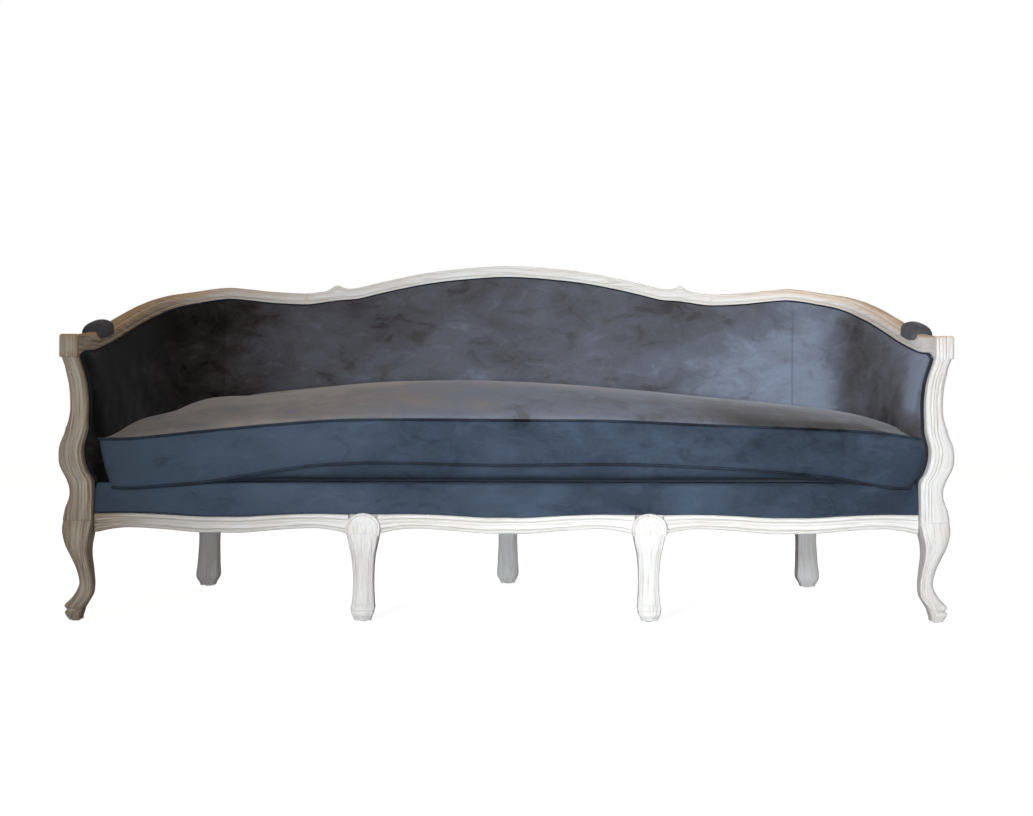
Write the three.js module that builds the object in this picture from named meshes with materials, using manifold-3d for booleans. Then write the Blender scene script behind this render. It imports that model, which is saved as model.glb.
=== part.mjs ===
import * as THREE from "three";
import { mergeVertices } from "three/addons/utils/BufferGeometryUtils.js";
import Module from "manifold-3d";

// A cabriole sofa in millimetres. X runs along the seat, -Y is the front and +Z is up.
// The origin is on the floor under the middle of the sofa.

const wasm = await Module();
wasm.setup();

// Overall sizes
const overallWidth = 2202;
const overallHeight = 960;
const overallDepth = 860;

// Clearances and overruns
const fitGap = 0.3;
const softGap = 0.6;
const cutOverrun = 4;

// Heights of the frame
const railUnderside = 216;
const railShowHeight = 40;
const railTackHeight = 36;
const legRise = 30;
const legTop = railUnderside + legRise;
const armHeight = 706;

// Top rail, which is crest, shoulder rails and arm rails in one line
const topRailThickness = 45;
const topRailHeight = 34;
const armRailExtraHeight = 6;
const blockExtraHeight = 17;
const armBlockWidth = 53;
const armBlockInner = 17;
const peakHeight = 13;
const peakOffset = 524;
const peakSpread = 19;

// Seat rails
const seatRailInner = 26;
const seatRailOuter = 20;
const tackStripOuter = 6;
const seatBackInset = 82.5;
const seatInset = 22;
const frontRailBow = 20;
const frontRailSet = 50;
const archRise = 12;
const archTopRise = 8;

// Back and arm frame between the two rails
const framePly = 24;
const coverSlack = 1.6;
const stileWidth = 60;
const strutWidth = 50;
const stayHeight = 40;
const stayRaise = 14;

// Legs and posts
const kneeWidth = 75;
const kneeDepth = 70;
const midKneeWidth = 86;
const cornerLegInset = 43;
const frontLegSetback = 38;
const midLegX = 352.6;
const midBlockWidth = 72;
const kneeCapThickness = 9;
const kneeCapRise = 50.5;
const kneeSpringRise = 16;
const kneeCapInset = 1;
const blockProud = 16;
const postWidth = 70;
const postSwell = 6;
const backLegWidth = 58;
const backLegSplay = 12;
const glideHeight = 3;
const glideRadius = 9;

// Joinery
const tenonLength = 22;
const tenonThickness = 10;
const stayTenonThickness = 8;
const uprightTenonSet = 4;
const tenonWidth = 26;

// Upholstery
const strapWidth = 60;
const strapThickness = 2;
const burlapThickness = 1.2;
const deckRise = 47;
const deckSideGap = 1.5;
const borderThickness = 11;
const padEdge = 11;
const padCrown = 20;
const armPadCrown = 24;
const outsidePly = 6;
const cushionEdgeRise = 61;
const cushionEdgeDepth = 108;
const cushionMiddleDepth = 156;
const cushionCrownDepth = 261;
const cushionLowSeamRise = 23;
const cushionLowSeamArch = 24;
const cushionSideGap = 3;
const cushionTuck = 26;
const cushionBoxBulge = 5;
const cushionSetback = 4;
const armPadSetback = 155;
const armPadLength = 100;
const armPadInner = 30;
const armPadOuter = 32;
const armPadSink = 10;
const armPadRise = 27;
const armPadHang = 9;
const dustCoverThickness = 1.5;

// The plan lines, from the middle of the back to the front of the arm, one row a station.
// Each row holds shares of the half width and of the way from front to back.
const topPlanShares = [
  [0, 1], [0.2327, 0.9977], [0.4653, 0.9892], [0.6515, 0.97], [0.7818, 0.9309], [0.8748, 0.8633],
  [0.9307, 0.771], [0.9632, 0.642], [0.9791, 0.4825], [0.9884, 0.3154], [0.9958, 0.1586], [1, 0],
];
const seatPlanShares = [
  [0, 1], [0.2376, 0.9973], [0.4753, 0.9866], [0.6654, 0.9638], [0.789, 0.9196], [0.8698, 0.8527],
  [0.9221, 0.7522], [0.9534, 0.6182], [0.9696, 0.4708], [0.981, 0.3101], [0.9905, 0.1628], [1, 0],
];
const lastStation = topPlanShares.length - 1;
const knotStepShare = 0.25;

// Height of the top edge by station, as shares of the rise from the arm block to the crest.
const crestLineShares = [
  [0, 1], [0.6, 0.963], [1, 0.913], [1.36, 0.842], [1.6, 0.787], [1.84, 0.73], [2.12, 0.707],
  [2.45, 0.667], [2.6, 0.659], [3.14, 0.675], [3.57, 0.697], [4.1, 0.709], [5, 0.642], [6, 0.566],
  [7, 0.446], [8, 0.297], [9, 0.146], [10, 0.032], [10.5, 0.004], [11, 0],
];

// Share of the knee from a corner leg's axis to the face that the front rail meets
const legBlockShare = 0.507;

// Stations of the joints in the frame
const crestJointStation = 2.565;
const armJointStation = 8.6;
const seamStation = 4.2;
const stileStation = 4.2;
const strutStation = 1.6;
const rearJointStation = 4;
const frontPanelStation = 10.65;

// Station-by-station helpers
function along(table, place) {
  const last = table.length - 1;
  if (place >= table[last][0]) return table[last][1];
  let index = 0;
  while (table[index + 1][0] < place) index += 1;
  const [x0, y0] = table[index];
  const [x1, y1] = table[index + 1];
  const before = table[Math.max(index - 1, 0)];
  const after = table[Math.min(index + 2, last)];
  const startSlope = index === 0 ? 0 : (y1 - before[1]) / (x1 - before[0]);
  const endSlope = (after[1] - y0) / (after[0] - x0);
  const width = x1 - x0;
  const t = (place - x0) / width;
  const rest = 1 - t;
  const ends = y0 * rest * rest * (1 + 2 * t) + y1 * t * t * (3 - 2 * t);
  return ends + width * t * rest * (startSlope * rest - endSlope * t);
}

function planCurve(shares, halfWidth, front, back) {
  const right = shares.map(([x, y]) => new THREE.Vector3(x * halfWidth, front + y * (back - front), 0));
  const left = right.slice(1).reverse().map((point) => new THREE.Vector3(-point.x, point.y, 0));
  const curve = new THREE.CatmullRomCurve3([...left, ...right]);
  const knots = new Map();
  for (let station = -lastStation; station <= lastStation; station += knotStepShare) {
    const at = (station + lastStation) / (2 * lastStation);
    const tangent = curve.getTangent(at);
    knots.set(station, { point: curve.getPoint(at), normal: new THREE.Vector3(-tangent.y, tangent.x, 0) });
  }
  return knots;
}

// The plan and the heights run straight between knots, so pieces that share knots lie face to face.
const lineFront = kneeCapThickness - overallDepth / 2;
const topKnots = planCurve(
  topPlanShares, (overallWidth - armBlockWidth) / 2, lineFront, (overallDepth - topRailThickness) / 2,
);
const seatKnots = planCurve(
  seatPlanShares, (overallWidth - armBlockWidth) / 2 - seatInset, lineFront,
  (overallDepth - topRailThickness) / 2 - seatBackInset,
);

function between(station, value) {
  const low = Math.max(Math.min(Math.floor(station / knotStepShare) * knotStepShare, lastStation - knotStepShare), -lastStation);
  const share = (station - low) / knotStepShare;
  return [value(low), value(low + knotStepShare), share];
}

function offsetPoint(knots, station, offset, z) {
  const [from, to, share] = between(station, (knot) => {
    const { point, normal } = knots.get(knot);
    return point.clone().addScaledVector(normal, offset);
  });
  return from.lerp(to, share).setZ(z);
}

function knotLine(height) {
  return (station) => {
    const [from, to, share] = between(station, (knot) => height(Math.abs(knot)));
    return from + (to - from) * share;
  };
}

function smoothTop(station) {
  return armHeight + (overallHeight - armHeight) * along(crestLineShares, station);
}

const railThinStation = 5;
const railThickStation = 7;
const blockStation = 10.5;

function railHeight(station) {
  const arm = THREE.MathUtils.smoothstep(station, railThinStation, railThickStation);
  const block = THREE.MathUtils.smoothstep(station, blockStation, lastStation);
  return topRailHeight + armRailExtraHeight * arm + blockExtraHeight * block;
}

const railLow = knotLine((station) => smoothTop(station) - railHeight(station));
const railSmoothTop = knotLine(smoothTop);

function railTop(station) {
  const reach = (Math.abs(topPoint(station, 0, 0).x) - peakOffset) / peakSpread;
  return railSmoothTop(station) + peakHeight * Math.exp(-reach * reach);
}

function topPoint(station, offset, z) {
  return offsetPoint(topKnots, station, offset, z);
}

function seatPoint(station, offset, z) {
  return offsetPoint(seatKnots, station, offset, z);
}

// A point on the leaning surface between the seat rails and the top rail.
const railTackTop = railUnderside + railShowHeight + railTackHeight;
const deckHeight = railTackTop + deckRise;

function shellPoint(station, offset, z) {
  const share = (z - railTackTop) / (railLow(station) - railTackTop);
  return seatPoint(station, offset, z).lerp(topPoint(station, offset, z), share);
}

function stations(from, to, extra = []) {
  const inner = [...extra];
  const first = Math.floor(from / knotStepShare) + 1;
  for (let knot = first * knotStepShare; knot < to; knot += knotStepShare) inner.push(knot);
  const near = knotStepShare / 25;
  const kept = inner.filter((place) => place > from + near && place < to - near).sort((a, b) => a - b);
  return [from, ...kept.filter((place, index) => index === 0 || place - kept[index - 1] > near), to];
}

// Solid builders
function closedGeometry(points, faces) {
  let volume = 0;
  for (const [a, b, c] of faces) {
    volume += points[a].dot(new THREE.Vector3().crossVectors(points[b], points[c]));
  }
  const outward = volume < 0 ? faces.map(([a, b, c]) => [a, c, b]) : faces;
  const geometry = new THREE.BufferGeometry().setFromPoints(points);
  geometry.setIndex(outward.flat());
  return geometry;
}

function flatten(ring) {
  const normal = new THREE.Vector3();
  ring.forEach((point, index) => {
    normal.add(new THREE.Vector3().crossVectors(point, ring[(index + 1) % ring.length]));
  });
  const size = normal.toArray().map(Math.abs);
  const drop = size.indexOf(Math.max(...size));
  const [first, second] = [0, 1, 2].filter((axis) => axis !== drop);
  return ring.map((point) => new THREE.Vector2(point.getComponent(first), point.getComponent(second)));
}

function capFaces(ring, start, reversed) {
  const flat = flatten(ring);
  const clockwise = THREE.ShapeUtils.area(flat) < 0;
  return THREE.ShapeUtils.triangulateShape(flat, []).map(([a, b, c]) => {
    const turned = THREE.ShapeUtils.area([flat[a], flat[b], flat[c]]) < 0 !== clockwise;
    const face = turned !== reversed ? [c, b, a] : [a, b, c];
    return face.map((index) => index + start);
  });
}

// A cap for a ring whose second half runs back under its first, point for point.
function zipFaces(ring, start, reversed) {
  const last = ring.length - 1;
  const faces = [];
  for (let side = 0; side + 1 < ring.length / 2; side += 1) {
    const [a, b, c, d] = [side, side + 1, last - side - 1, last - side].map((index) => index + start);
    faces.push([a, b, c], [a, c, d]);
  }
  return reversed ? faces.map(([a, b, c]) => [c, b, a]) : faces;
}

function loft(rings, cap = capFaces) {
  const count = rings[0].length;
  const faces = [];
  for (let row = 0; row + 1 < rings.length; row += 1) {
    for (let side = 0; side < count; side += 1) {
      const a = row * count + side;
      const b = row * count + ((side + 1) % count);
      faces.push([a, b, b + count], [a, b + count, a + count]);
    }
  }
  faces.push(...cap(rings[0], 0, true));
  faces.push(...cap(rings[rings.length - 1], (rings.length - 1) * count, false));
  return closedGeometry(rings.flat(), faces);
}

// A sweep through stations: the section gives offset and height pairs at each one.
function sweep(point, places, section) {
  return loft(places.map((place) => section(place).map(([offset, z]) => point(place, offset, z))));
}

function toSolid(geometry) {
  const bare = geometry.clone();
  for (const name of ["normal", "uv"]) bare.deleteAttribute(name);
  const merged = mergeVertices(bare);
  const mesh = new wasm.Mesh({
    numProp: 3,
    vertProperties: new Float32Array(merged.attributes.position.array),
    triVerts: new Uint32Array(merged.index.array),
  });
  return new wasm.Manifold(mesh);
}

function toGeometry(solid) {
  const { vertProperties, triVerts } = solid.getMesh();
  const geometry = new THREE.BufferGeometry();
  geometry.setAttribute("position", new THREE.BufferAttribute(new Float32Array(vertProperties), 3));
  geometry.setIndex(new THREE.BufferAttribute(new Uint32Array(triVerts), 1));
  return geometry;
}

function block(width, depth, height, x, y, z, turn = 0) {
  return new THREE.BoxGeometry(width, depth, height).rotateZ(turn).translate(x, y, z);
}

function sizeAndMiddle(low, high) {
  return [high - low, (low + high) / 2];
}

function span(x0, x1, y0, y1, z0, z1) {
  const [width, x] = sizeAndMiddle(x0, x1);
  const [depth, y] = sizeAndMiddle(y0, y1);
  const [height, z] = sizeAndMiddle(z0, z1);
  return block(width, depth, height, x, y, z);
}

function union(...geometries) {
  return geometries.map(toSolid).reduce((whole, solid) => whole.add(solid));
}

// The pieces, by name. Middle pieces stand alone and side pieces are made once, for the right.
const pieces = new Map();
const middlePieces = new Set();

function addPiece(name, solid, finish) {
  pieces.set(name, { solid, finish });
}

function addMiddle(name, solid, finish) {
  addPiece(name, solid, finish);
  middlePieces.add(name);
}

function change(name, geometry, action) {
  const piece = pieces.get(name);
  piece.solid = piece.solid[action](toSolid(geometry));
  if (!middlePieces.has(name)) return;
  const mirrored = toSolid(geometry).mirror([1, 0, 0]);
  piece.solid = piece.solid[action](mirrored);
}

// A tongue on the guest that sits in a socket in the host, with the fit gap all round.
function tenon(guest, host, [width, depth, height], [x, y, z], turn = 0) {
  const spare = 2 * fitGap;
  change(guest, block(width, depth, height, x, y, z, turn), "add");
  change(host, block(width + spare, depth + spare, height + spare, x, y, z, turn), "subtract");
}

function turnAt(point, station) {
  const reach = knotStepShare / 10;
  const heading = point(station + reach, 0, 0).sub(point(station - reach, 0, 0));
  return Math.atan2(heading.y, heading.x);
}

// Finishes
function material(color, roughness, metalness = 0) {
  return new THREE.MeshStandardMaterial({ color, roughness, metalness });
}
const limedOak = material("#e6e0d8", 0.6);
const plainBeech = material("#c9a77a", 0.7);
const slateVelvet = material("#46505f", 0.9);
const juteWeb = material("#b09668", 0.95);
const blackCloth = material("#26262a", 0.95);
const steel = material("#b9b9b4", 0.35, 1);

// Top rail: crest, shoulders and arms
const railSectionShares = [
  [-1, 0], [1, 0], [1, 0.55], [0.76, 0.86], [0.32, 1], [-0.36, 1], [-0.62, 0.9], [-1, 0.62],
];
const blockWidthStation = 10.2;
const peakSteps = 7;

function topRailSection(station) {
  const low = railLow(station);
  const rise = railTop(station) - low;
  const front = THREE.MathUtils.smoothstep(Math.abs(station), blockWidthStation, frontPanelStation);
  const reach = (offset) => {
    const wide = offset < 0 ? armBlockInner : armBlockWidth / 2;
    return offset * (topRailThickness / 2 + (wide - topRailThickness / 2) * front);
  };
  return railSectionShares.map(([offset, height]) => [reach(offset), low + height * rise]);
}

function speed(point, station) {
  const reach = knotStepShare / 10;
  return point(station + reach, 0, 0).distanceTo(point(station - reach, 0, 0)) / (2 * reach);
}

// Two pieces that meet end to end at a station stop short of it by half the fit gap.
function shortOf(point, station) {
  return fitGap / 2 / speed(point, station);
}

function makeTopRail() {
  const crestEnd = crestJointStation - shortOf(topPoint, crestJointStation);
  const peakStation = crossing(stations(0, crestEnd).map((place) => topPoint(place, 0, place)), "x",
    peakOffset, "z");
  const peakReach = (2 * peakSpread) / speed(topPoint, peakStation);
  const peakPlaces = Array.from({ length: peakSteps }, (_, step) => (
    peakStation + peakReach * ((2 * step) / (peakSteps - 1) - 1)
  ));
  const peaks = peakPlaces.flatMap((place) => [place, -place]);
  const crest = sweep(topPoint, stations(-crestEnd, crestEnd, peaks), topRailSection);
  addMiddle("crest_rail", toSolid(crest), limedOak);
  const shoulderStart = crestJointStation + shortOf(topPoint, crestJointStation);
  const shoulderEnd = armJointStation - shortOf(topPoint, armJointStation);
  const shoulder = sweep(topPoint, stations(shoulderStart, shoulderEnd), topRailSection);
  addPiece("shoulder_rail", toSolid(shoulder), limedOak);
  const armStart = armJointStation + shortOf(topPoint, armJointStation);
  const arm = sweep(topPoint, stations(armStart, lastStation, [frontPanelStation]), topRailSection);
  addPiece("arm_rail", toSolid(arm), limedOak);
  for (const [guest, host, joint] of [
    ["shoulder_rail", "crest_rail", crestJointStation],
    ["arm_rail", "shoulder_rail", armJointStation],
  ]) {
    const middle = (railLow(joint) + railSmoothTop(joint)) / 2;
    const place = topPoint(joint, 0, middle).toArray();
    tenon(guest, host, [2 * tenonLength, tenonWidth, tenonThickness], place, turnAt(topPoint, joint));
  }
}

// Where the front rails run: between the corner legs, bowed forward in the middle.
const cornerLegX = overallWidth / 2 - cornerLegInset;
const frontLegY = frontLegSetback - overallDepth / 2;
const frontRailCorner = overallDepth / 2 - frontRailSet;
const railEndX = cornerLegX - legBlockShare * kneeWidth;
const blockBack = -frontLine(midLegX) - seatRailInner - blockProud;

function frontLine(x) {
  return -frontRailCorner - frontRailBow * Math.cos((Math.PI * x) / (2 * railEndX));
}

function frontPoint(x, offset, z) {
  return new THREE.Vector3(x, frontLine(x) - offset, z);
}

// Rings for legs and posts: a rounded square between two edges in X and two in Y.
const ringSides = 12;
const ringSquareness = 0.5;

function squareRing(x0, x1, y0, y1, z) {
  const [width, x] = sizeAndMiddle(x0, x1);
  const [depth, y] = sizeAndMiddle(y0, y1);
  return Array.from({ length: ringSides }, (_, side) => {
    const angle = (2 * Math.PI * (side + 0.5)) / ringSides;
    const [c, s] = [Math.cos(angle), Math.sin(angle)];
    const across = Math.sign(c) * Math.abs(c) ** ringSquareness;
    const deep = Math.sign(s) * Math.abs(s) ** ringSquareness;
    return new THREE.Vector3(x + (across * width) / 2, y + (deep * depth) / 2, z);
  });
}

// Cabriole legs. Rows run up the leg: height, inner edge, outer edge, front and back,
// as shares of the leg's height and of its knee, from the leg's own axis.
const cornerLegShares = [
  [0, -0.147, 0.227, -0.45, 0.06], [0.07, -0.24, 0.32, -0.54, 0.08], [0.155, -0.32, 0.32, -0.47, 0.14],
  [0.255, -0.48, 0.1, -0.33, 0.25], [0.34, -0.49, -0.033, -0.27, 0.3], [0.4, -0.48, -0.04, -0.28, 0.31],
  [0.52, -0.427, 0.04, -0.37, 0.36], [0.635, -0.373, 0.187, -0.47, 0.41],
  [0.75, -0.373, 0.347, -0.54, 0.46], [0.86, -0.44, 0.445, -0.53, 0.47],
  [0.93, -0.473, 0.476, -0.48, 0.47], [1, -legBlockShare, 0.455, -0.42, 0.47],
];
const midLegShares = [
  [0, 0.236, -0.45, 0.06], [0.06, 0.29, -0.54, 0.08], [0.15, 0.339, -0.47, 0.14], [0.24, 0.321, -0.33, 0.25],
  [0.34, 0.296, -0.27, 0.3], [0.5, 0.293, -0.3, 0.33], [0.68, 0.315, -0.41, 0.38],
  [0.77, 0.343, -0.48, 0.43], [0.86, 0.39, -0.53, 0.46], [1, 0.46, -0.543, 0.47],
];
const backLegShares = [[0, 0.34, 1], [0.12, 0.5, 0.85], [0.3, 0.475, 0.55], [0.66, 0.44, 0.1], [1, 0.5, 0]];
const legFoot = glideHeight + fitGap;

function addGlide(name, x, y, middle = false) {
  const glide = new THREE.CylinderGeometry(glideRadius, glideRadius, glideHeight, ringSides);
  const solid = toSolid(glide.rotateX(Math.PI / 2).translate(x, y, glideHeight / 2));
  (middle ? addMiddle : addPiece)(name, solid, steel);
}

function makeCornerLeg() {
  const rings = cornerLegShares.map(([height, inner, outer, front, back]) => squareRing(
    cornerLegX + inner * kneeWidth, cornerLegX + outer * kneeWidth,
    frontLegY + front * kneeDepth, frontLegY + back * kneeDepth,
    legFoot + height * (legTop - legFoot),
  ));
  addPiece("front_leg", toSolid(loft(rings)), limedOak);
  const [, inner, outer, front, back] = cornerLegShares[0];
  addGlide(
    "front_glide", cornerLegX + ((inner + outer) / 2) * kneeWidth,
    frontLegY + ((front + back) / 2) * kneeDepth,
  );
}

// Middle leg: a cabriole leg under the rails, a block between their ends and a domed cap in front.
const kneeCapSpring = railUnderside + kneeSpringRise;
const kneeCapTop = railUnderside + kneeCapRise;
const blockOverlap = 6;

function makeMidLeg() {
  const rings = midLegShares.map(([height, reach, front, back]) => squareRing(
    midLegX - reach * midKneeWidth, midLegX + reach * midKneeWidth,
    frontLegY + front * kneeDepth, frontLegY + back * kneeDepth,
    legFoot + height * (railUnderside - legFoot),
  ));
  const side = midBlockWidth / 2;
  const show = railUnderside + railShowHeight;
  const low = span(midLegX - side, midLegX + side, lineFront, -blockBack, railUnderside - blockOverlap, show);
  const blockFront = frontLine(midLegX + side) - tackStripOuter;
  const high = span(midLegX - side, midLegX + side, blockFront, -blockBack, show - blockOverlap,
    railTackTop - fitGap);
  const dome = new THREE.Shape();
  const reach = midKneeWidth / 2;
  dome.moveTo(kneeCapInset - reach, railUnderside - blockOverlap);
  dome.lineTo(reach - kneeCapInset, railUnderside - blockOverlap);
  dome.lineTo(reach, kneeCapSpring);
  dome.absellipse(0, kneeCapSpring, reach, kneeCapTop - kneeCapSpring, 0, Math.PI);
  const cap = new THREE.ExtrudeGeometry(dome, {
    depth: kneeCapThickness + fitGap, bevelEnabled: false, curveSegments: ringSides / 2,
  });
  cap.rotateX(Math.PI / 2).translate(midLegX, lineFront + fitGap, 0);
  addPiece("mid_leg", union(loft(rings), low, high, cap), limedOak);
  const [, , front, back] = midLegShares[0];
  addGlide("mid_glide", midLegX, frontLegY + ((front + back) / 2) * kneeDepth);
}

function backLeg(name, foot, splay, middle) {
  const reach = (share) => share * backLegWidth;
  const rings = backLegShares.map(([height, width, shift]) => {
    const x = foot.x + splay.x * shift;
    const y = foot.y + splay.y * shift;
    const z = legFoot + height * (railUnderside - fitGap - legFoot);
    return squareRing(x - reach(width), x + reach(width), y - reach(width), y + reach(width), z);
  });
  (middle ? addMiddle : addPiece)(name, toSolid(loft(rings)), limedOak);
  addGlide(name.replace("leg", "glide"), foot.x + splay.x, foot.y + splay.y, middle);
}

// Arm posts, which stand on the corner legs and carry the arm blocks.
// Rows: height up the post, inner edge, outer edge and forward swell, as shares.
const postShares = [
  [0, -0.575, 0.429, 0.1], [0.045, -0.58, 0.39, 0.1], [0.08, -0.585, 0.344, 0.15], [0.112, -0.593, 0.27, 0.2],
  [0.147, -0.6, 0.2, 0.35], [0.182, -0.6, 0.183, 0.5], [0.217, -0.6, 0.21, 0.7], [0.237, -0.6, 0.25, 0.8],
  [0.256, -0.56, 0.29, 0.9], [0.288, -0.44, 0.383, 1], [0.322, -0.357, 0.484, 1], [0.357, -0.292, 0.544, 1],
  [0.392, -0.256, 0.557, 1], [0.427, -0.242, 0.554, 1], [0.462, -0.26, 0.523, 0.9], [0.497, -0.312, 0.453, 0.8],
  [0.532, -0.362, 0.373, 0.65], [0.567, -0.393, 0.323, 0.5], [0.6, -0.396, 0.253, 0.35],
  [0.666, -0.41, 0.183, 0.2], [0.736, -0.41, 0.183, 0], [0.8, -0.377, 0.206, 0], [0.841, -0.346, 0.238, 0],
  [0.876, -0.3, 0.281, 0], [0.911, -0.242, 0.33, 0], [0.946, -0.172, 0.373, 0], [1, -0.07, 0.484, 0],
];
const widestPostShare = 0.557;
const postX = overallWidth / 2 - widestPostShare * postWidth;
const coverReach = framePly / 2 + outsidePly + 2 * fitGap;
const shellEnds = [-coverReach - padEdge - armPadCrown, coverReach].flatMap((offset) => [
  shellPoint(frontPanelStation, offset, railUnderside + railShowHeight).y,
  shellPoint(frontPanelStation, offset, railLow(frontPanelStation)).y,
]);
const postBack = Math.min(...shellEnds) - fitGap;

function makePost() {
  const low = legTop + fitGap;
  const high = railLow(lastStation) - fitGap;
  const rings = postShares.map(([height, inner, outer, swell]) => squareRing(
    postX + inner * postWidth, postX + outer * postWidth, lineFront - swell * postSwell, postBack,
    low + height * (high - low),
  ));
  addPiece("arm_post", toSolid(loft(rings)), limedOak);
  const middle = (lineFront + postBack) / 2;
  const block = topPoint(lastStation, 0, 0);
  tenon("arm_post", "arm_rail", [tenonWidth, tenonThickness, 2 * tenonLength], [block.x, middle, high]);
  tenon("arm_post", "front_leg", [tenonWidth, tenonThickness, 2 * tenonLength], [cornerLegX, middle, low]);
}

// Front rail line: it bows forward in the middle, and its edges arch up beside each leg.
const spanSteps = 12;
const archLowShares = [[0, 0], [0.06, 0.6], [0.13, 1], [0.26, 0.7], [0.42, 0], [0.5, 0]];
const archTopShares = [[0, 0.9], [0.13, 1], [0.26, 0.7], [0.42, 0], [0.5, 0]];
const midRailEnd = midLegX - midBlockWidth / 2 - fitGap;
const sideRailStart = midLegX + midBlockWidth / 2 + fitGap;
const frontSpans = [
  [-railEndX + fitGap, -sideRailStart],
  [-midRailEnd, midRailEnd],
  [sideRailStart, railEndX - fitGap],
];

function spanPlaces([from, to]) {
  return Array.from({ length: spanSteps + 1 }, (_, step) => from + ((to - from) * step) / spanSteps);
}

const frontPlaces = frontSpans.flatMap(spanPlaces);

function arch(table, x, rise) {
  const [from, to] = frontSpans.find(([, end]) => x <= end + fitGap / 2);
  const share = Math.min(Math.max((x - from) / (to - from), 0), 1);
  return rise * along(table, Math.min(share, 1 - share));
}

function railLedge(x) {
  return railUnderside + railShowHeight + arch(archTopShares, x, archTopRise);
}

function frontRailSection(x) {
  const low = railUnderside + arch(archLowShares, x, archRise);
  const ledge = railLedge(x);
  const round = (seatRailOuter - tackStripOuter) / 3;
  return [
    [-seatRailInner, low], [seatRailOuter - round, low], [seatRailOuter, low + round],
    [seatRailOuter, ledge - round], [seatRailOuter - round, ledge],
    [tackStripOuter, ledge], [tackStripOuter, railTackTop], [-seatRailInner, railTackTop],
  ];
}

function seatRailSection() {
  const ledge = railUnderside + railShowHeight;
  const round = (seatRailOuter - tackStripOuter) / 3;
  return [
    [-seatRailInner, railUnderside], [seatRailOuter - round, railUnderside],
    [seatRailOuter, railUnderside + round], [seatRailOuter, ledge - round], [seatRailOuter - round, ledge],
    [tackStripOuter, ledge], [tackStripOuter, railTackTop], [-seatRailInner, railTackTop],
  ];
}

const legBack = frontLegY + cornerLegShares.at(-1)[4] * kneeDepth;
const tenonHeight = railUnderside + (legTop - railUnderside) / 2;
const railTenon = [2 * tenonLength, tenonThickness, tenonWidth / 2];

function stationWhere(point, y) {
  let [low, high] = [railThinStation, lastStation];
  while (high - low > 1e-6) {
    const middle = (low + high) / 2;
    if (point(middle, 0, 0).y > y) low = middle;
    else high = middle;
  }
  return low;
}

function makeFrontRails() {
  const [, middle, right] = frontSpans;
  addMiddle("front_rail_centre", toSolid(sweep(frontPoint, spanPlaces(middle), frontRailSection)), limedOak);
  addPiece("front_rail", toSolid(sweep(frontPoint, spanPlaces(right), frontRailSection)), limedOak);
  tenon("front_rail_centre", "mid_leg", railTenon, [midRailEnd, frontLine(midRailEnd), tenonHeight]);
  tenon("front_rail", "mid_leg", railTenon, [sideRailStart, frontLine(sideRailStart), tenonHeight]);
  tenon("front_rail", "front_leg", railTenon, [railEndX, frontLine(railEndX), tenonHeight]);
}

// Side and back rails. The side rail's tack strip runs on over the leg to the post.
function makeSeatRails() {
  const joint = rearJointStation - shortOf(seatPoint, rearJointStation);
  const back = sweep(seatPoint, stations(-joint, joint), seatRailSection);
  addMiddle("back_rail", toSolid(back), plainBeech);
  const start = rearJointStation + shortOf(seatPoint, rearJointStation);
  const end = stationWhere(seatPoint, postBack - cutOverrun);
  addPiece("side_rail", toSolid(sweep(seatPoint, stations(start, end), seatRailSection)), plainBeech);
  const edge = seatPoint(end, 0, 0).x;
  const over = seatRailInner + seatRailOuter;
  for (const [back, top] of [[postBack, railTackTop + cutOverrun], [legBack, legTop]]) {
    change("side_rail", span(edge - over, edge + over, lineFront, back + fitGap,
      railUnderside - cutOverrun, top + fitGap), "subtract");
  }
  tenon("side_rail", "front_leg", [tenonThickness, 2 * tenonLength, tenonWidth / 2],
    [edge, legBack, tenonHeight]);
  const scarf = seatPoint(rearJointStation, 0, railUnderside + railShowHeight / 2).toArray();
  tenon("side_rail", "back_rail", [2 * tenonLength, tenonThickness, tenonWidth], scarf,
    turnAt(seatPoint, rearJointStation));
}

const rearLegStation = 4.5;
const legTenon = [tenonWidth, tenonThickness, 2 * tenonLength];

function makeBackLegs() {
  const middle = seatPoint(0, 0, 0);
  backLeg("back_leg_centre", middle, new THREE.Vector3(), true);
  const place = [middle.x, middle.y, railUnderside];
  const spare = 2 * fitGap;
  const [width, depth, height] = legTenon;
  const centre = pieces.get("back_leg_centre");
  centre.solid = centre.solid.add(toSolid(block(...legTenon, ...place)));
  const socket = toSolid(block(width + spare, depth + spare, height + spare, ...place));
  pieces.get("back_rail").solid = pieces.get("back_rail").solid.subtract(socket);
  const corner = seatPoint(rearLegStation, 0, 0);
  const outward = seatPoint(rearLegStation, backLegSplay, 0).sub(corner);
  backLeg("back_leg", corner, outward, false);
  tenon("back_leg", "side_rail", legTenon, [corner.x, corner.y, railUnderside],
    turnAt(seatPoint, rearLegStation));
}

// Back frame: stiles and struts between the rails, and stays that the covers are tacked to.
function memberPlaces(station, width) {
  const reach = width / 2 / speed(seatPoint, station);
  return stations(station - reach, station + reach);
}

function upright(station, width) {
  const ply = framePly / 2 - coverSlack;
  const low = railTackTop + fitGap;
  return toSolid(sweep(shellPoint, memberPlaces(station, width), (place) => {
    const high = railLow(place) - fitGap;
    return [[-ply, low], [ply, low], [ply, high], [-ply, high]];
  }));
}

function stay(from, to, spare = 0) {
  const low = railTackTop + stayRaise - spare;
  const high = low + stayHeight + 2 * spare;
  const inner = (spare ? -cutOverrun : coverSlack) - framePly / 2;
  return sweep(shellPoint, stations(from, to), () => [[inner, low], [spare, low], [spare, high], [inner, high]]);
}

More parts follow.
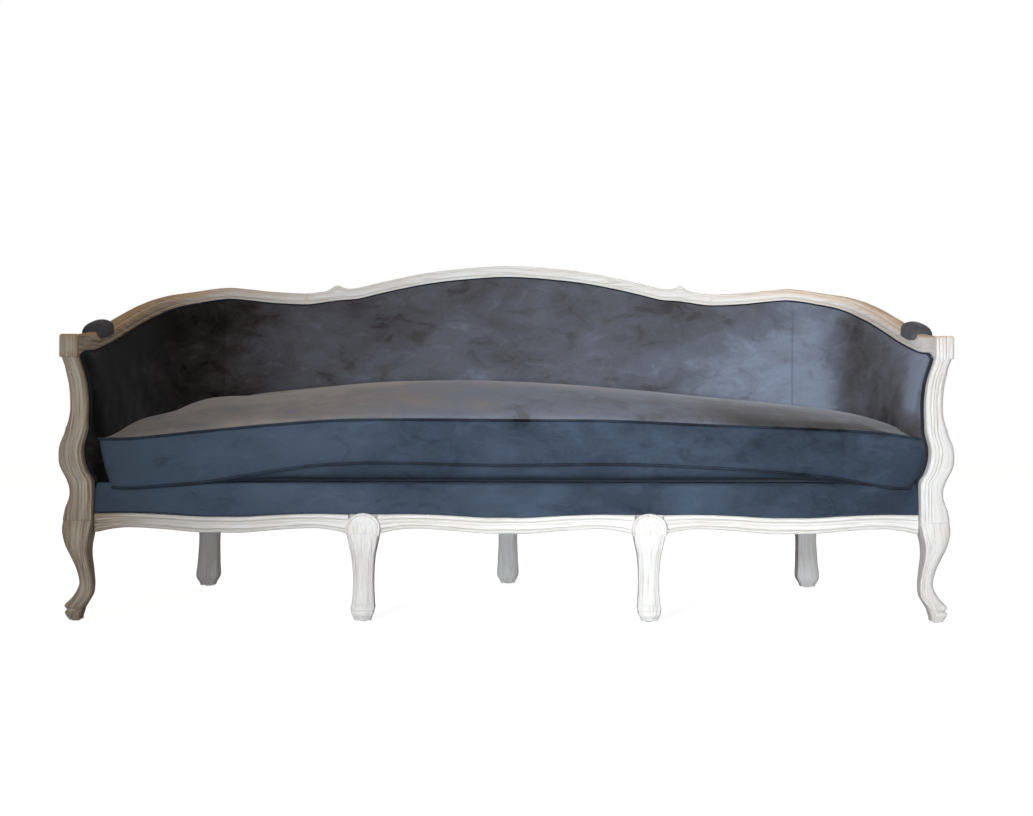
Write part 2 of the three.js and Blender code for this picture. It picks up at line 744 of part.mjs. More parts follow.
function makeBackFrame() {
  addPiece("back_stile", upright(stileStation, stileWidth), plainBeech);
  addPiece("back_strut", upright(strutStation, strutWidth), plainBeech);
  const stileFrom = memberPlaces(stileStation, stileWidth)[0];
  const stileTo = memberPlaces(stileStation, stileWidth).at(-1);
  const backEnd = stileFrom - 2 * shortOf(seatPoint, stileFrom);
  const armStart = stileTo + 2 * shortOf(seatPoint, stileTo);
  addMiddle("back_stay_rail", toSolid(stay(-backEnd, backEnd)), plainBeech);
  addPiece("arm_stay_rail", toSolid(stay(armStart, frontPanelStation)), plainBeech);
  const notch = memberPlaces(strutStation, 2 * strutWidth);
  change("back_strut", stay(notch[0], notch.at(-1), fitGap), "subtract");
  const height = railTackTop + stayRaise + stayHeight / 2;
  const size = [tenonLength, stayTenonThickness, tenonWidth];
  for (const [guest, host, place] of [
    ["back_stay_rail", "back_stile", stileFrom],
    ["arm_stay_rail", "back_stile", stileTo],
  ]) {
    const at = shellPoint(place, -framePly / 4, height).toArray();
    tenon(guest, host, size, at, turnAt(seatPoint, place));
  }
  const front = shellPoint(frontPanelStation, -framePly / 4, height);
  tenon("arm_stay_rail", "arm_post", [stayTenonThickness, 2 * tenonLength, tenonWidth],
    [front.x, postBack, height]);
  const uprightTenon = [tenonWidth, tenonThickness, tenonLength];
  for (const [name, station, rail, base] of [
    ["back_stile", stileStation, "shoulder_rail", "side_rail"],
    ["back_strut", strutStation, "crest_rail", "back_rail"],
  ]) {
    const foot = seatPoint(station, -uprightTenonSet, railTackTop);
    tenon(name, base, uprightTenon, foot.toArray(), turnAt(seatPoint, station));
    const head = shellPoint(station, 0, railLow(station));
    tenon(name, rail, uprightTenon, head.toArray(), turnAt(topPoint, station));
  }
}

// Seat support: stretchers, corner blocks, webbing, burlap and a dust cover
const stretcherWidth = 40;
const stretcherHeight = 40;
const stretcherRaise = 16;
const cornerBlockReach = 80;
const cornerBlockSink = 14;
const cornerBlockPly = 30;
const webLanding = 14;
const crossStraps = 9;
const longStraps = 4;
const strapMargin = 90;

function crossing(points, key, value, other) {
  for (let index = 0; index + 1 < points.length; index += 1) {
    const [a, b] = [points[index], points[index + 1]];
    if ((a[key] - value) * (b[key] - value) <= 0) {
      return a[other] + ((b[other] - a[other]) * (value - a[key])) / (b[key] - a[key]);
    }
  }
  return points.at(-1)[other];
}

// A flat sheet inside the rails, drawn in from the lines of the side and front rails.
function sheet(inset, low, ply, frontInset = inset) {
  const end = stationWhere(seatPoint, frontInset - frontRailCorner);
  const rings = [low, low + ply].map((z) => {
    const sides = stations(-end, end).map((place) => seatPoint(place, -inset, z));
    const front = frontPlaces.filter((x) => Math.abs(x) < railEndX - inset).reverse();
    return [...sides, ...front.map((x) => frontPoint(x, -frontInset, z))];
  });
  return loft(rings);
}

const webEdge = stations(0, lastStation).map((place) => seatPoint(place, -webLanding, 0));
const seatBackEdge = (x) => crossing(webEdge, "x", Math.abs(x), "y");
const seatSideEdge = (y) => crossing([...webEdge].reverse(), "y", y, "x");

function makeSupport() {
  const low = railUnderside + stretcherRaise;
  const high = low + stretcherHeight;
  const side = stretcherWidth / 2;
  const innerBack = crossing(stations(0, rearJointStation).map(
    (place) => seatPoint(place, -seatRailInner - fitGap, 0)), "x", midLegX + side, "y");
  addPiece("seat_stretcher", toSolid(span(midLegX - side, midLegX + side, fitGap - blockBack, innerBack,
    low, high)), plainBeech);
  const size = [tenonThickness, tenonLength, tenonWidth];
  tenon("seat_stretcher", "mid_leg", size, [midLegX, -blockBack, (low + high) / 2]);
  tenon("seat_stretcher", "back_rail", size, [midLegX, innerBack, (low + high) / 2]);

  const blockLow = railUnderside + cornerBlockSink;
  const blockHigh = railTackTop - cornerBlockSink;
  const rearFrom = rearJointStation - knotStepShare;
  const rear = sweep(seatPoint, stations(rearFrom, rearJointStation + 4 * knotStepShare), () => [
    [-seatRailInner - fitGap, blockLow], [-seatRailInner - cornerBlockPly, blockLow],
    [-seatRailInner - cornerBlockPly, blockHigh], [-seatRailInner - fitGap, blockHigh],
  ]);
  addPiece("back_corner_block", toSolid(rear), plainBeech);
  const frontInner = (x) => frontPoint(x, -seatRailInner - fitGap, 0).y;
  const sideFront = stationWhere(seatPoint, frontInner(railEndX) + cutOverrun);
  const corner = seatPoint(sideFront, -seatRailInner - fitGap, 0);
  const behind = seatPoint(stationWhere(seatPoint, corner.y + cornerBlockReach), -seatRailInner - fitGap, 0);
  const away = corner.x - cornerBlockReach;
  const outline = [
    [corner.x, corner.y], [behind.x, behind.y], [away, frontInner(away)],
    [railEndX - cornerBlockPly, frontInner(railEndX - cornerBlockPly)],
  ];
  const rings = [blockLow, blockHigh].map((z) => outline.map(([x, y]) => new THREE.Vector3(x, y, z)));
  addPiece("front_corner_block", toSolid(loft(rings)), plainBeech);

  const webLow = railTackTop + fitGap;
  const webHigh = webLow + strapThickness;
  const straps = [];
  for (let index = 0; index < crossStraps; index += 1) {
    const share = (2 * index) / (crossStraps - 1) - 1;
    const x = share * (seatPoint(rearJointStation, 0, 0).x - strapWidth);
    const back = Math.min(seatBackEdge(x - strapWidth / 2), seatBackEdge(x + strapWidth / 2));
    straps.push(span(x - strapWidth / 2, x + strapWidth / 2, frontLine(x), back, webLow, webHigh));
  }
  for (let index = 0; index < longStraps; index += 1) {
    const front = -frontRailCorner + strapMargin;
    const back = seatPoint(rearJointStation + 1, 0, 0).y - strapMargin;
    const y = front + ((back - front) * index) / (longStraps - 1);
    const reach = Math.min(seatSideEdge(y - strapWidth / 2), seatSideEdge(y + strapWidth / 2));
    straps.push(span(-reach, reach, y - strapWidth / 2, y + strapWidth / 2, webLow, webHigh));
  }
  addMiddle("seat_webbing", union(...straps), juteWeb);

  const clothLow = webHigh + fitGap;
  addMiddle("seat_burlap", toSolid(sheet(webLanding, clothLow, burlapThickness)), juteWeb);
  const dustLow = railUnderside + archRise;
  const dustFront = frontRailCorner + frontRailBow - blockBack + softGap;
  addMiddle("dust_cover", toSolid(sheet(seatRailInner + softGap, dustLow, dustCoverThickness, dustFront)),
    blackCloth);
}

// Covers: padded panels between the rails. The face bulges between its edges and near a seam it draws in.
const padBack = framePly / 2 + fitGap;
const padLow = railTackTop + strapThickness + burlapThickness + 4 * fitGap;
const padRowShares = [0, 0.12, 0.3, 0.5, 0.7, 0.88, 1];
const seamDrawShare = 0.45;
const seamReachShare = 0.6;
const frontRollShare = 0.3;
const armCrownStation = 6.2;
const bulgeSharpness = 0.75;

function padDepth(station, share) {
  const place = Math.abs(station);
  const onArm = THREE.MathUtils.smoothstep(place, seamStation, armCrownStation);
  const crown = padCrown + (armPadCrown - padCrown) * onArm;
  const drawn = 1 - THREE.MathUtils.smoothstep(Math.abs(place - seamStation), 0, seamReachShare);
  const rolled = THREE.MathUtils.smoothstep(place, frontPanelStation - frontRollShare, frontPanelStation);
  const fullness = (1 - seamDrawShare * drawn) * (1 - seamDrawShare * rolled);
  return padEdge + crown * fullness * Math.sin(Math.PI * share) ** bulgeSharpness;
}

const padTop = (station) => railLow(station) - fitGap;
const padRowHeight = (station, share) => (share === padRowShares[1]
  ? deckHeight
  : padLow + share * (padTop(station) - padLow));

const padDepthAt = (share) => {
  const line = knotLine((station) => padDepth(station, share));
  return (station) => (Math.abs(station) >= frontPanelStation ? padDepth(station, share) : line(station));
};
const padDepths = padRowShares.map(padDepthAt);

function padSection(station) {
  const face = padRowShares.map((share, row) => [
    -padBack - padDepths[row](station), padRowHeight(station, share),
  ]);
  return [...face, [-padBack, padTop(station)], [-padBack, padLow]];
}

function outsideSection(station) {
  const inner = framePly / 2 + fitGap;
  const low = railUnderside + railShowHeight + fitGap;
  const high = padTop(station);
  return [[inner, low], [inner + outsidePly, low], [inner + outsidePly, high], [inner, high]];
}

function makeCovers() {
  const seam = seamStation - shortOf(seatPoint, seamStation);
  const armSeam = seamStation + shortOf(seatPoint, seamStation);
  const armPlaces = stations(armSeam, frontPanelStation);
  addMiddle("inside_back", toSolid(sweep(shellPoint, stations(-seam, seam), padSection)), slateVelvet);
  addPiece("inside_arm", toSolid(sweep(shellPoint, armPlaces, padSection)), slateVelvet);
  addMiddle("outside_back", toSolid(sweep(shellPoint, stations(-seam, seam), outsideSection)), slateVelvet);
  addPiece("outside_arm", toSolid(sweep(shellPoint, armPlaces, outsideSection)), slateVelvet);
}

// Plan outlines inside the pads: round the back by station, then along the front.
const cushionStepShare = 0.5;

function roundOutline(end, edge, z, step = knotStepShare) {
  const places = stations(0, end).filter((place) => place % step === 0 || place === end);
  const right = places.map((place) => shellPoint(place, -edge(place), z));
  const left = right.slice(1).reverse().map((point) => new THREE.Vector3(-point.x, point.y, point.z));
  return [...left, ...right];
}

function makeDeck() {
  const rows = [0, 1].map((row) => {
    const z = row === 0 ? padLow : deckHeight;
    const edge = (station) => padBack + padDepths[row](station) + deckSideGap;
    const inset = tackStripOuter + fitGap + borderThickness / 2;
    const sides = roundOutline(frontPanelStation, edge, z);
    const cornerX = Math.min(railEndX, sides.at(-1).x) - softGap;
    const corner = new THREE.Vector3(cornerX, postBack + softGap, z);
    const front = frontPlaces.filter((x) => Math.abs(x) < cornerX).reverse();
    return [corner.clone().setX(-cornerX), ...sides, corner, ...front.map((x) => frontPoint(x, inset, z))];
  });
  const [from, to] = [tackStripOuter + fitGap, tackStripOuter + fitGap + borderThickness];
  const round = borderThickness / 3;
  const border = sweep(frontPoint, frontPlaces, (x) => {
    const low = railLedge(x) + fitGap;
    return [[from, low], [to, low], [to, deckHeight - round], [to - round, deckHeight], [from, deckHeight]];
  });
  addMiddle("seat_deck", union(loft(rows), border), slateVelvet);
}

// The loose cushion. Its outline clears everything above it, so that it lifts straight out.
const seamShares = [[0, 1], [0.38, 0.95], [0.6, 0.78], [0.8, 0.5], [0.93, 0.18], [1, 0]];
const crownShares = [[0, 1], [0.42, 0.84], [0.63, 0.67], [0.85, 0.55], [0.94, 0.44], [1, 0.33]];
const crownRingShares = [0.05, 0.14, 0.3, 0.52, 0.76, 0.94];
const cushionDraw = 0.1;
const crownSharpness = 0.8;
const armPadClearStation = 7.7;
const cushionEdgeZ = deckHeight + cushionEdgeRise;

function cushionInset(station) {
  const base = shellPoint(station, 0, cushionEdgeZ);
  const outward = shellPoint(station, 1, cushionEdgeZ).sub(base);
  const inward = (point) => -point.sub(base).dot(outward);
  const pads = padRowShares.map((share, row) => inward(
    shellPoint(station, -padBack - padDepths[row](station), padRowHeight(station, share)),
  ));
  const aboveArm = inward(topPoint(station, -armPadInner, cushionEdgeZ));
  return Math.max(...pads, station > armPadClearStation ? aboveArm : 0) + cushionSideGap + cushionBoxBulge;
}

function makeCushion() {
  const end = stationWhere(seatPoint, lineFront + 3 * cushionTuck);
  const sides = roundOutline(end, cushionInset, cushionEdgeZ, cushionStepShare);
  const halfFront = sides.at(-1).x;
  const inset = cushionSetback + cushionBoxBulge;
  const face = ({ x }) => frontPoint(x, seatRailOuter - inset, 0);
  const outline = [...sides, ...[...sides].reverse().map(face)];
  const middleY = (sides[Math.floor(sides.length / 2)].y + frontLine(0)) / 2;
  const fromMiddle = (x) => Math.min(Math.abs(x) / halfFront, 1);
  const line = (low, high, shares) => (x) => deckHeight + low + (high - low) * along(shares, fromMiddle(x));
  const seamTop = line(cushionEdgeDepth, cushionMiddleDepth, seamShares);
  const seamLow = line(cushionLowSeamRise, cushionLowSeamRise + cushionLowSeamArch, seamShares);
  const crown = line(cushionEdgeDepth, cushionCrownDepth, crownShares);
  const normals = outline.map((point, index) => {
    const before = outline[(index + outline.length - 1) % outline.length];
    const after = outline[(index + 1) % outline.length];
    return new THREE.Vector3(before.y - after.y, after.x - before.x, 0).normalize();
  });
  const ring = (grow, height) => outline.map((point, index) => {
    const moved = point.clone().addScaledVector(normals[index], grow);
    return moved.setZ(height(point.x));
  });
  const rings = [
    ring(-cushionTuck, () => deckHeight + fitGap),
    ring(-cushionTuck / 3, (x) => (deckHeight + seamLow(x)) / 2),
    ring(0, seamLow),
    ring(cushionBoxBulge, (x) => (seamLow(x) + seamTop(x)) / 2),
    ring(0, seamTop),
  ];
  for (const share of crownRingShares) {
    const rise = Math.sin((Math.PI / 2) * share) ** crownSharpness;
    rings.push(outline.map(({ x, y }) => new THREE.Vector3(
      x * (1 - cushionDraw * share), y + (middleY - y) * share,
      seamTop(x) + (crown(x) - seamTop(x)) * rise,
    )));
  }
  addMiddle("seat_cushion", toSolid(loft(rings, zipFaces)), slateVelvet);
}

// Arm pads, each let into the top of its arm rail and wider than the rail.
const armPadFront = lineFront + armPadSetback;
const armPadBack = armPadFront + armPadLength;
const armPadShares = [
  [-1, -1], [-1, 0.2], [-0.82, 0.72], [-0.4, 0.97], [0, 1], [0.4, 0.97], [0.82, 0.72], [1, 0.2], [1, -1],
];
const armPadSteps = 10;
const armPadEndShare = 0.55;
const armPadEndSharpness = 5;

function makeArmPad() {
  const [from, to] = [armPadBack, armPadFront].map((y) => stationWhere(topPoint, y));
  const steps = Array.from({ length: armPadSteps }, (_, step) => from + ((to - from) * step) / armPadSteps);
  const spare = 2 * shortOf(topPoint, to);
  const bed = (place) => railSmoothTop(place) - armPadSink;
  const notch = sweep(topPoint, stations(from - spare, to + spare), (place) => [
    [-armPadInner, bed(place)], [armPadInner, bed(place)],
    [armPadInner, bed(place) + armPadRise], [-armPadInner, bed(place) + armPadRise],
  ]);
  change("arm_rail", notch, "subtract");
  const channel = topRailThickness / 2 + fitGap;
  const section = (place) => {
    const reachShare = Math.abs((2 * (place - from)) / (to - from) - 1);
    const fullness = Math.sqrt(1 - reachShare ** armPadEndSharpness);
    const round = armPadEndShare + (1 - armPadEndShare) * fullness;
    const top = bed(place) + fitGap;
    const low = top - armPadHang;
    const outer = armPadShares.map(([offset, height]) => [
      offset * (channel + ((offset < 0 ? armPadInner : armPadOuter) - channel) * round),
      height < 0 ? low : top + height * armPadRise * round,
    ]);
    return [...outer, [channel, low], [channel, top], [-channel, top], [-channel, low]];
  };
  addPiece("arm_pad", toSolid(sweep(topPoint, stations(from, to, steps), section)), slateVelvet);
}

makeTopRail();
makeCornerLeg();
makeMidLeg();
makePost();
makeFrontRails();
makeSeatRails();
makeBackLegs();
makeBackFrame();
makeSupport();
makeCovers();
makeDeck();
makeCushion();
makeArmPad();

// The sofa: middle pieces, then the side pieces on the right and mirrored on the left.
const sofa = new THREE.Group();
const right = new THREE.Group();
const left = new THREE.Group();
left.scale.x = -1;
sofa.add(right, left);
for (const [name, { solid, finish }] of pieces) {
  const geometry = toGeometry(solid);
  const sides = middlePieces.has(name) ? [["", sofa]] : [["_right", right], ["_left", left]];
  for (const [suffix, side] of sides) {
    const mesh = new THREE.Mesh(geometry, finish.clone());
    mesh.name = name + suffix;
    side.add(mesh);
  }
}

export default sofa;
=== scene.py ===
"""A cabriole sofa: limed oak frame, slate velvet covers and one long loose cushion."""

import math

import bpy
import numpy as np
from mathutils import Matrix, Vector


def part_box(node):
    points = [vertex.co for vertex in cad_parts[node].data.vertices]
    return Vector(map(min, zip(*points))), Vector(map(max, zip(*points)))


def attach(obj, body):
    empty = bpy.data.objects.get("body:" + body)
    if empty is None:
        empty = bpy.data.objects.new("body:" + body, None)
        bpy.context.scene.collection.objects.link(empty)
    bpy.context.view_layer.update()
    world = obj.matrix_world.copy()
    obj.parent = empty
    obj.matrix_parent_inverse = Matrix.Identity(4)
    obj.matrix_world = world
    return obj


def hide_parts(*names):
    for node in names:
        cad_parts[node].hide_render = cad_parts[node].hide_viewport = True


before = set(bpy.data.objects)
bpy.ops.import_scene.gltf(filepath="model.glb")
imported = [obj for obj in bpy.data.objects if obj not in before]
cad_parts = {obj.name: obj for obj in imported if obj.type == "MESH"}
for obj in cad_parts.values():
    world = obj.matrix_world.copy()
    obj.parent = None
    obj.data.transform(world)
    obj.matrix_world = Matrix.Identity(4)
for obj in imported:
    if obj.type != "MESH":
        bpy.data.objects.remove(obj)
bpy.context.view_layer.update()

# Sizes of the frame, in metres, and the lines that its rails follow
OVERALL_WIDTH = 2.202
OVERALL_HEIGHT = 0.960
OVERALL_DEPTH = 0.860
ARM_HEIGHT = 0.706
RAIL_UNDERSIDE = 0.216
RAIL_TACK_TOP = 0.292
LEG_TOP = 0.246
DECK_HEIGHT = 0.339
TOP_RAIL_THICKNESS = 0.045
TOP_RAIL_HEIGHT = 0.034
ARM_RAIL_EXTRA = 0.006
BLOCK_EXTRA = 0.017
ARM_BLOCK_WIDTH = 0.053
ARM_BLOCK_INNER = 0.017
PEAK_HEIGHT = 0.013
PEAK_OFFSET = 0.524
PEAK_SPREAD = 0.019
LINE_FRONT = -0.421
SEAT_INSET = 0.022
SEAT_BACK_INSET = 0.0825
FRAME_HALF_PLY = 0.012
RAIL_LINE_HALF = (OVERALL_WIDTH - ARM_BLOCK_WIDTH) / 2
RAIL_LINE_BACK = (OVERALL_DEPTH - TOP_RAIL_THICKNESS) / 2

TOP_PLAN = [
    (0, 1), (0.2327, 0.9977), (0.4653, 0.9892), (0.6515, 0.97), (0.7818, 0.9309), (0.8748, 0.8633),
    (0.9307, 0.771), (0.9632, 0.642), (0.9791, 0.4825), (0.9884, 0.3154), (0.9958, 0.1586), (1, 0),
]
SEAT_PLAN = [
    (0, 1), (0.2376, 0.9973), (0.4753, 0.9866), (0.6654, 0.9638), (0.789, 0.9196), (0.8698, 0.8527),
    (0.9221, 0.7522), (0.9534, 0.6182), (0.9696, 0.4708), (0.981, 0.3101), (0.9905, 0.1628), (1, 0),
]
CREST_LINE = [
    (0, 1), (0.6, 0.963), (1, 0.913), (1.36, 0.842), (1.6, 0.787), (1.84, 0.73), (2.12, 0.707),
    (2.45, 0.667), (2.6, 0.659), (3.14, 0.675), (3.57, 0.697), (4.1, 0.709), (5, 0.642), (6, 0.566),
    (7, 0.446), (8, 0.297), (9, 0.146), (10, 0.032), (10.5, 0.004), (11, 0),
]

# Stations along these lines, from 0 in the middle of the back to 11 at the arm's front
LAST = 11
CREST_JOINT = 2.565
SEAM = 4.2
ARM_THICKENS = (5, 7)
ARM_JOINT = 8.6
PLAIN_SECTION = (9.75, 10.1)
BLOCK_START = 10.5
FRONT_PANEL = 10.65
WIDE_SECTION = (10.2, FRONT_PANEL)

SIDES = ((1, "right"), (-1, "left"))
JOINT_GAP = 0.0002
FIT_GAP = 0.0003


def smoothstep(value, low, high):
    t = np.clip((np.asarray(value, float) - low) / (high - low), 0, 1)
    return t * t * (3 - 2 * t)


def between(low, high, share):
    return low + (high - low) * share


def along(table, place):
    """A smooth curve through a table of (place, value) rows."""
    xs, ys = np.array(table, float).T
    slopes = np.zeros(len(xs))
    slopes[1:-1] = (ys[2:] - ys[:-2]) / (xs[2:] - xs[:-2])
    slopes[-1] = (ys[-1] - ys[-2]) / (xs[-1] - xs[-2])
    place = np.clip(np.asarray(place, float), xs[0], xs[-1])
    index = np.clip(np.searchsorted(xs, place, side="right") - 1, 0, len(xs) - 2)
    width = xs[index + 1] - xs[index]
    t = (place - xs[index]) / width
    rest = 1 - t
    ends = ys[index] * rest * rest * (1 + 2 * t) + ys[index + 1] * t * t * (3 - 2 * t)
    return ends + width * t * rest * (slopes[index] * rest - slopes[index + 1] * t)


class PlanLine:
    """A centripetal spline in plan, by station from the middle of the back (0) to the arm's front (11)."""

    def __init__(self, shares, half_width, front, back):
        right = [(x * half_width, between(front, back, y)) for x, y in shares]
        points = np.array([(-x, y) for x, y in right[:0:-1]] + right)
        self.points = np.vstack([2 * points[0] - points[1], points, 2 * points[-1] - points[-2]])

    def at(self, station):
        place = np.clip(np.asarray(station, float), -LAST, LAST) + LAST
        index = np.minimum(place.astype(int), 2 * LAST - 1)
        t = (place - index)[..., None]
        p = [self.points[index + step] for step in range(4)]
        g0, g1, g2 = (np.sqrt(np.linalg.norm(b - a, axis=-1, keepdims=True)) for a, b in zip(p, p[1:]))
        start = g1 * ((p[1] - p[0]) / g0 - (p[2] - p[0]) / (g0 + g1) + (p[2] - p[1]) / g1)
        end = g1 * ((p[2] - p[1]) / g1 - (p[3] - p[1]) / (g1 + g2) + (p[3] - p[2]) / g2)
        c2 = -3 * p[1] + 3 * p[2] - 2 * start - end
        c3 = 2 * p[1] - 2 * p[2] + start + end
        point = p[1] + t * (start + t * (c2 + t * c3))
        tangent = start + t * (2 * c2 + 3 * t * c3)
        tangent /= np.linalg.norm(tangent, axis=-1, keepdims=True)
        return point, tangent

    def offset(self, station, offset, z):
        """The point at a station, that far outward of the line, at height z."""
        station, offset, z = np.broadcast_arrays(station, offset, z)
        point, tangent = self.at(station)
        outward = np.stack([-tangent[..., 1], tangent[..., 0]], -1)
        plan = point + outward * np.asarray(offset, float)[..., None]
        return np.concatenate([plan, np.asarray(z, float)[..., None]], -1)


top_line = PlanLine(TOP_PLAN, RAIL_LINE_HALF, LINE_FRONT, RAIL_LINE_BACK)
seat_line = PlanLine(SEAT_PLAN, RAIL_LINE_HALF - SEAT_INSET, LINE_FRONT, RAIL_LINE_BACK - SEAT_BACK_INSET)


def smooth_top(station):
    """The top rail's height, without its two peaks."""
    return between(ARM_HEIGHT, OVERALL_HEIGHT, along(CREST_LINE, np.abs(station)))


def rail_height(station):
    """The top rail's own height, which grows on the arm and at the block."""
    place = np.abs(station)
    arm, block = smoothstep(place, *ARM_THICKENS), smoothstep(place, BLOCK_START, LAST)
    return TOP_RAIL_HEIGHT + ARM_RAIL_EXTRA * arm + BLOCK_EXTRA * block


def rail_low(station):
    """The height of the top rail's underside."""
    return smooth_top(station) - rail_height(station)


def rail_top(station):
    """The top rail's height with its two peaks."""
    reach = (np.abs(top_line.offset(station, 0, 0)[..., 0]) - PEAK_OFFSET) / PEAK_SPREAD
    return smooth_top(station) + PEAK_HEIGHT * np.exp(-reach * reach)


def shell(station, offset, z):
    """A point on the leaning surface between the seat rails and the top rail."""
    share = (z - RAIL_TACK_TOP) / (rail_low(station) - RAIL_TACK_TOP)
    lines = (line.offset(station, offset, z) for line in (seat_line, top_line))
    return between(*lines, np.asarray(share)[..., None])


# Mesh building
WOOD_CREASE = 38
VELVET_CREASE = 60
EDGE_CONTRAST = 2.2
LEAST_WORN = 0.12
ARM_TOPS = (0.68, 0.70)
WORN_HEIGHT = (0.66, 0.72)
# Where the painted shade down the left end begins and where it is full, by how far to the left
LEFT_END = (0.86, 1.02)
TINY = 1e-9


def loft_faces(rows, columns, caps=True):
    faces = []
    for row in range(rows - 1):
        for column in range(columns):
            a = row * columns + column
            b = row * columns + (column + 1) % columns
            faces.append((a, b, b + columns, a + columns))
    if caps:
        faces.append(tuple(range(columns))[::-1])
        faces.append(tuple((rows - 1) * columns + column for column in range(columns)))
    return faces


def loft(rings):
    """A skin over rings of points, closed at both ends: its points and faces."""
    rings = np.array(rings)
    return rings, loft_faces(*rings.shape[:2])


def write_attribute(mesh, name, values):
    values = np.asarray(values, np.float32)
    kind, field = ("FLOAT_VECTOR", "vector") if values.ndim == 2 else ("FLOAT", "value")
    layer = mesh.attributes.new(name, kind, "POINT")
    layer.data.foreach_set(field, values.ravel())


def read_vectors(items, field="co"):
    """A row of three numbers for each item."""
    values = np.empty(len(items) * 3)
    items.foreach_get(field, values)
    return values.reshape(-1, 3)


def edge_sharpness(mesh):
    """How far each vertex stands out from its neighbours: 1 on an outer edge, -1 in a groove."""
    co, normals = read_vectors(mesh.vertices), read_vectors(mesh.vertex_normals, "vector")
    pairs = np.empty(len(mesh.edges) * 2, int)
    mesh.edges.foreach_get("vertices", pairs)
    pairs = pairs.reshape(-1, 2)
    total, count = np.zeros(len(co)), np.zeros(len(co))
    for a, b in (pairs.T, pairs.T[::-1]):
        step = co[b] - co[a]
        length = np.linalg.norm(step, axis=1) + TINY
        np.add.at(total, a, -(normals[a] * step).sum(1) / length)
        np.add.at(count, a, 1)
    return np.clip(EDGE_CONTRAST * total / np.maximum(count, 1), -1, 1)


def wood_wear_and_shade(mesh):
    """Colour marks on the oak, by point: a honey tint on the tops of the arms and shoulders, partly where the
    limed finish is rubbed through and partly a painted warm reflection on the up-facing faces; where its edges
    are worn;
    and a painted shade, in darker brown oak, down the left end."""
    co, normals = read_vectors(mesh.vertices), read_vectors(mesh.vertex_normals, "vector")
    x, z, facing_up = co[:, 0], co[:, 2], smoothstep(normals[:, 2], -0.1, 0.7)
    # Painted shade down the left end
    bare = smoothstep(-x, *LEFT_END)
    # Honey on the up-facing tops: partly rubbed-through wear, partly a painted warm reflection
    honey = facing_up * smoothstep(np.abs(x), 0.55, 0.85) * smoothstep(z, *ARM_TOPS)
    # Worn edges high on the outer frame, and all over the painted shade of the left end
    worn = np.maximum(smoothstep(z, *WORN_HEIGHT) * smoothstep(np.abs(x), 0.3, 0.6), bare)
    return {"honey": honey, "worn": np.maximum(worn, LEAST_WORN), "bare": bare}


def add_to_scene(name, data):
    thing = bpy.data.objects.new(name, data)
    bpy.context.scene.collection.objects.link(thing)
    return thing


def make_object(name, verts, faces, material, attributes, crease, side):
    """A mesh piece that rides on the frame. side -1 mirrors it to the left."""
    if side < 0:
        verts = verts * (-1, 1, 1)
        faces = [face[::-1] for face in faces]
    mesh = bpy.data.meshes.new(name)
    mesh.from_pydata(verts.tolist(), [], faces)
    mesh.update()
    mesh.shade_smooth()
    mesh.set_sharp_from_angle(angle=math.radians(crease))
    for key, values in attributes.items():
        write_attribute(mesh, key, values)
    mesh.materials.append(material)
    piece = add_to_scene(name, mesh)
    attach(piece, "frame")
    return piece


def facing_out(verts, faces):
    """The faces, turned round if they close round a negative volume."""
    volume = 0.0
    for face in faces:
        corners = verts[list(face)]
        fan = np.cross(corners[1:-1], corners[2:])
        volume += np.einsum("ij,ij->", fan, np.broadcast_to(corners[0], fan.shape))
    return faces if volume > 0 else [face[::-1] for face in faces]


def joined(parts):
    """One list of vertices, faces and grain coordinates from several."""
    verts, faces, grain = [], [], []
    start = 0
    for part_verts, part_faces, part_grain in parts:
        part_verts = np.asarray(part_verts, float).reshape(-1, 3)
        part_faces = facing_out(part_verts, part_faces)
        verts.append(part_verts)
        grain.append(np.asarray(part_grain, float).reshape(-1, 3))
        faces += [tuple(index + start for index in face) for face in part_faces]
        start += len(part_verts)
    return np.vstack(verts), faces, np.vstack(grain)


def wood_piece(name, parts, replaced, side=1, seed=0.0):
    """A piece of the show frame. The seed gives it a grain of its own."""
    verts, faces, grain = joined(parts)
    attributes = {"grain": grain + (seed, 0, 0)}
    piece = make_object(name, verts, faces, limed_oak, attributes, WOOD_CREASE, side)
    for key, values in {"edge": edge_sharpness(piece.data), **wood_wear_and_shade(piece.data)}.items():
        write_attribute(piece.data, key, values)
    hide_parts(replaced)


def wood_pair(name, parts, replaced, seed):
    """The same piece on the right and, mirrored, on the left."""
    for side, suffix in SIDES:
        wood_piece(f"{name}_{suffix}", parts, f"{replaced}_{suffix}", side, seed + side)


def sweep(line, places, section):
    """Rings of a section of (offset, height) rows along a plan line, with their grain coordinates."""
    places = np.asarray(places, float)
    rings, grains = [], []
    middle = line.offset(places, 0, 0)
    for place, length in zip(places, running_length(middle)):
        rows = section(place)
        rings.append(line.offset(place, rows[:, 0], rows[:, 1]))
        grains.append(np.column_stack([np.full(len(rows), length), rows]))
    return *loft(rings), np.array(grains)


def running_length(points):
    """The distance along a line of points, up to each one."""
    return np.concatenate([[0], np.cumsum(np.linalg.norm(np.diff(points, axis=0), axis=1))])


def places_between(start, end, step, extra=()):
    count = max(int(math.ceil((end - start) / step)), 1)
    return np.unique(np.concatenate([np.linspace(start, end, count + 1), extra]))


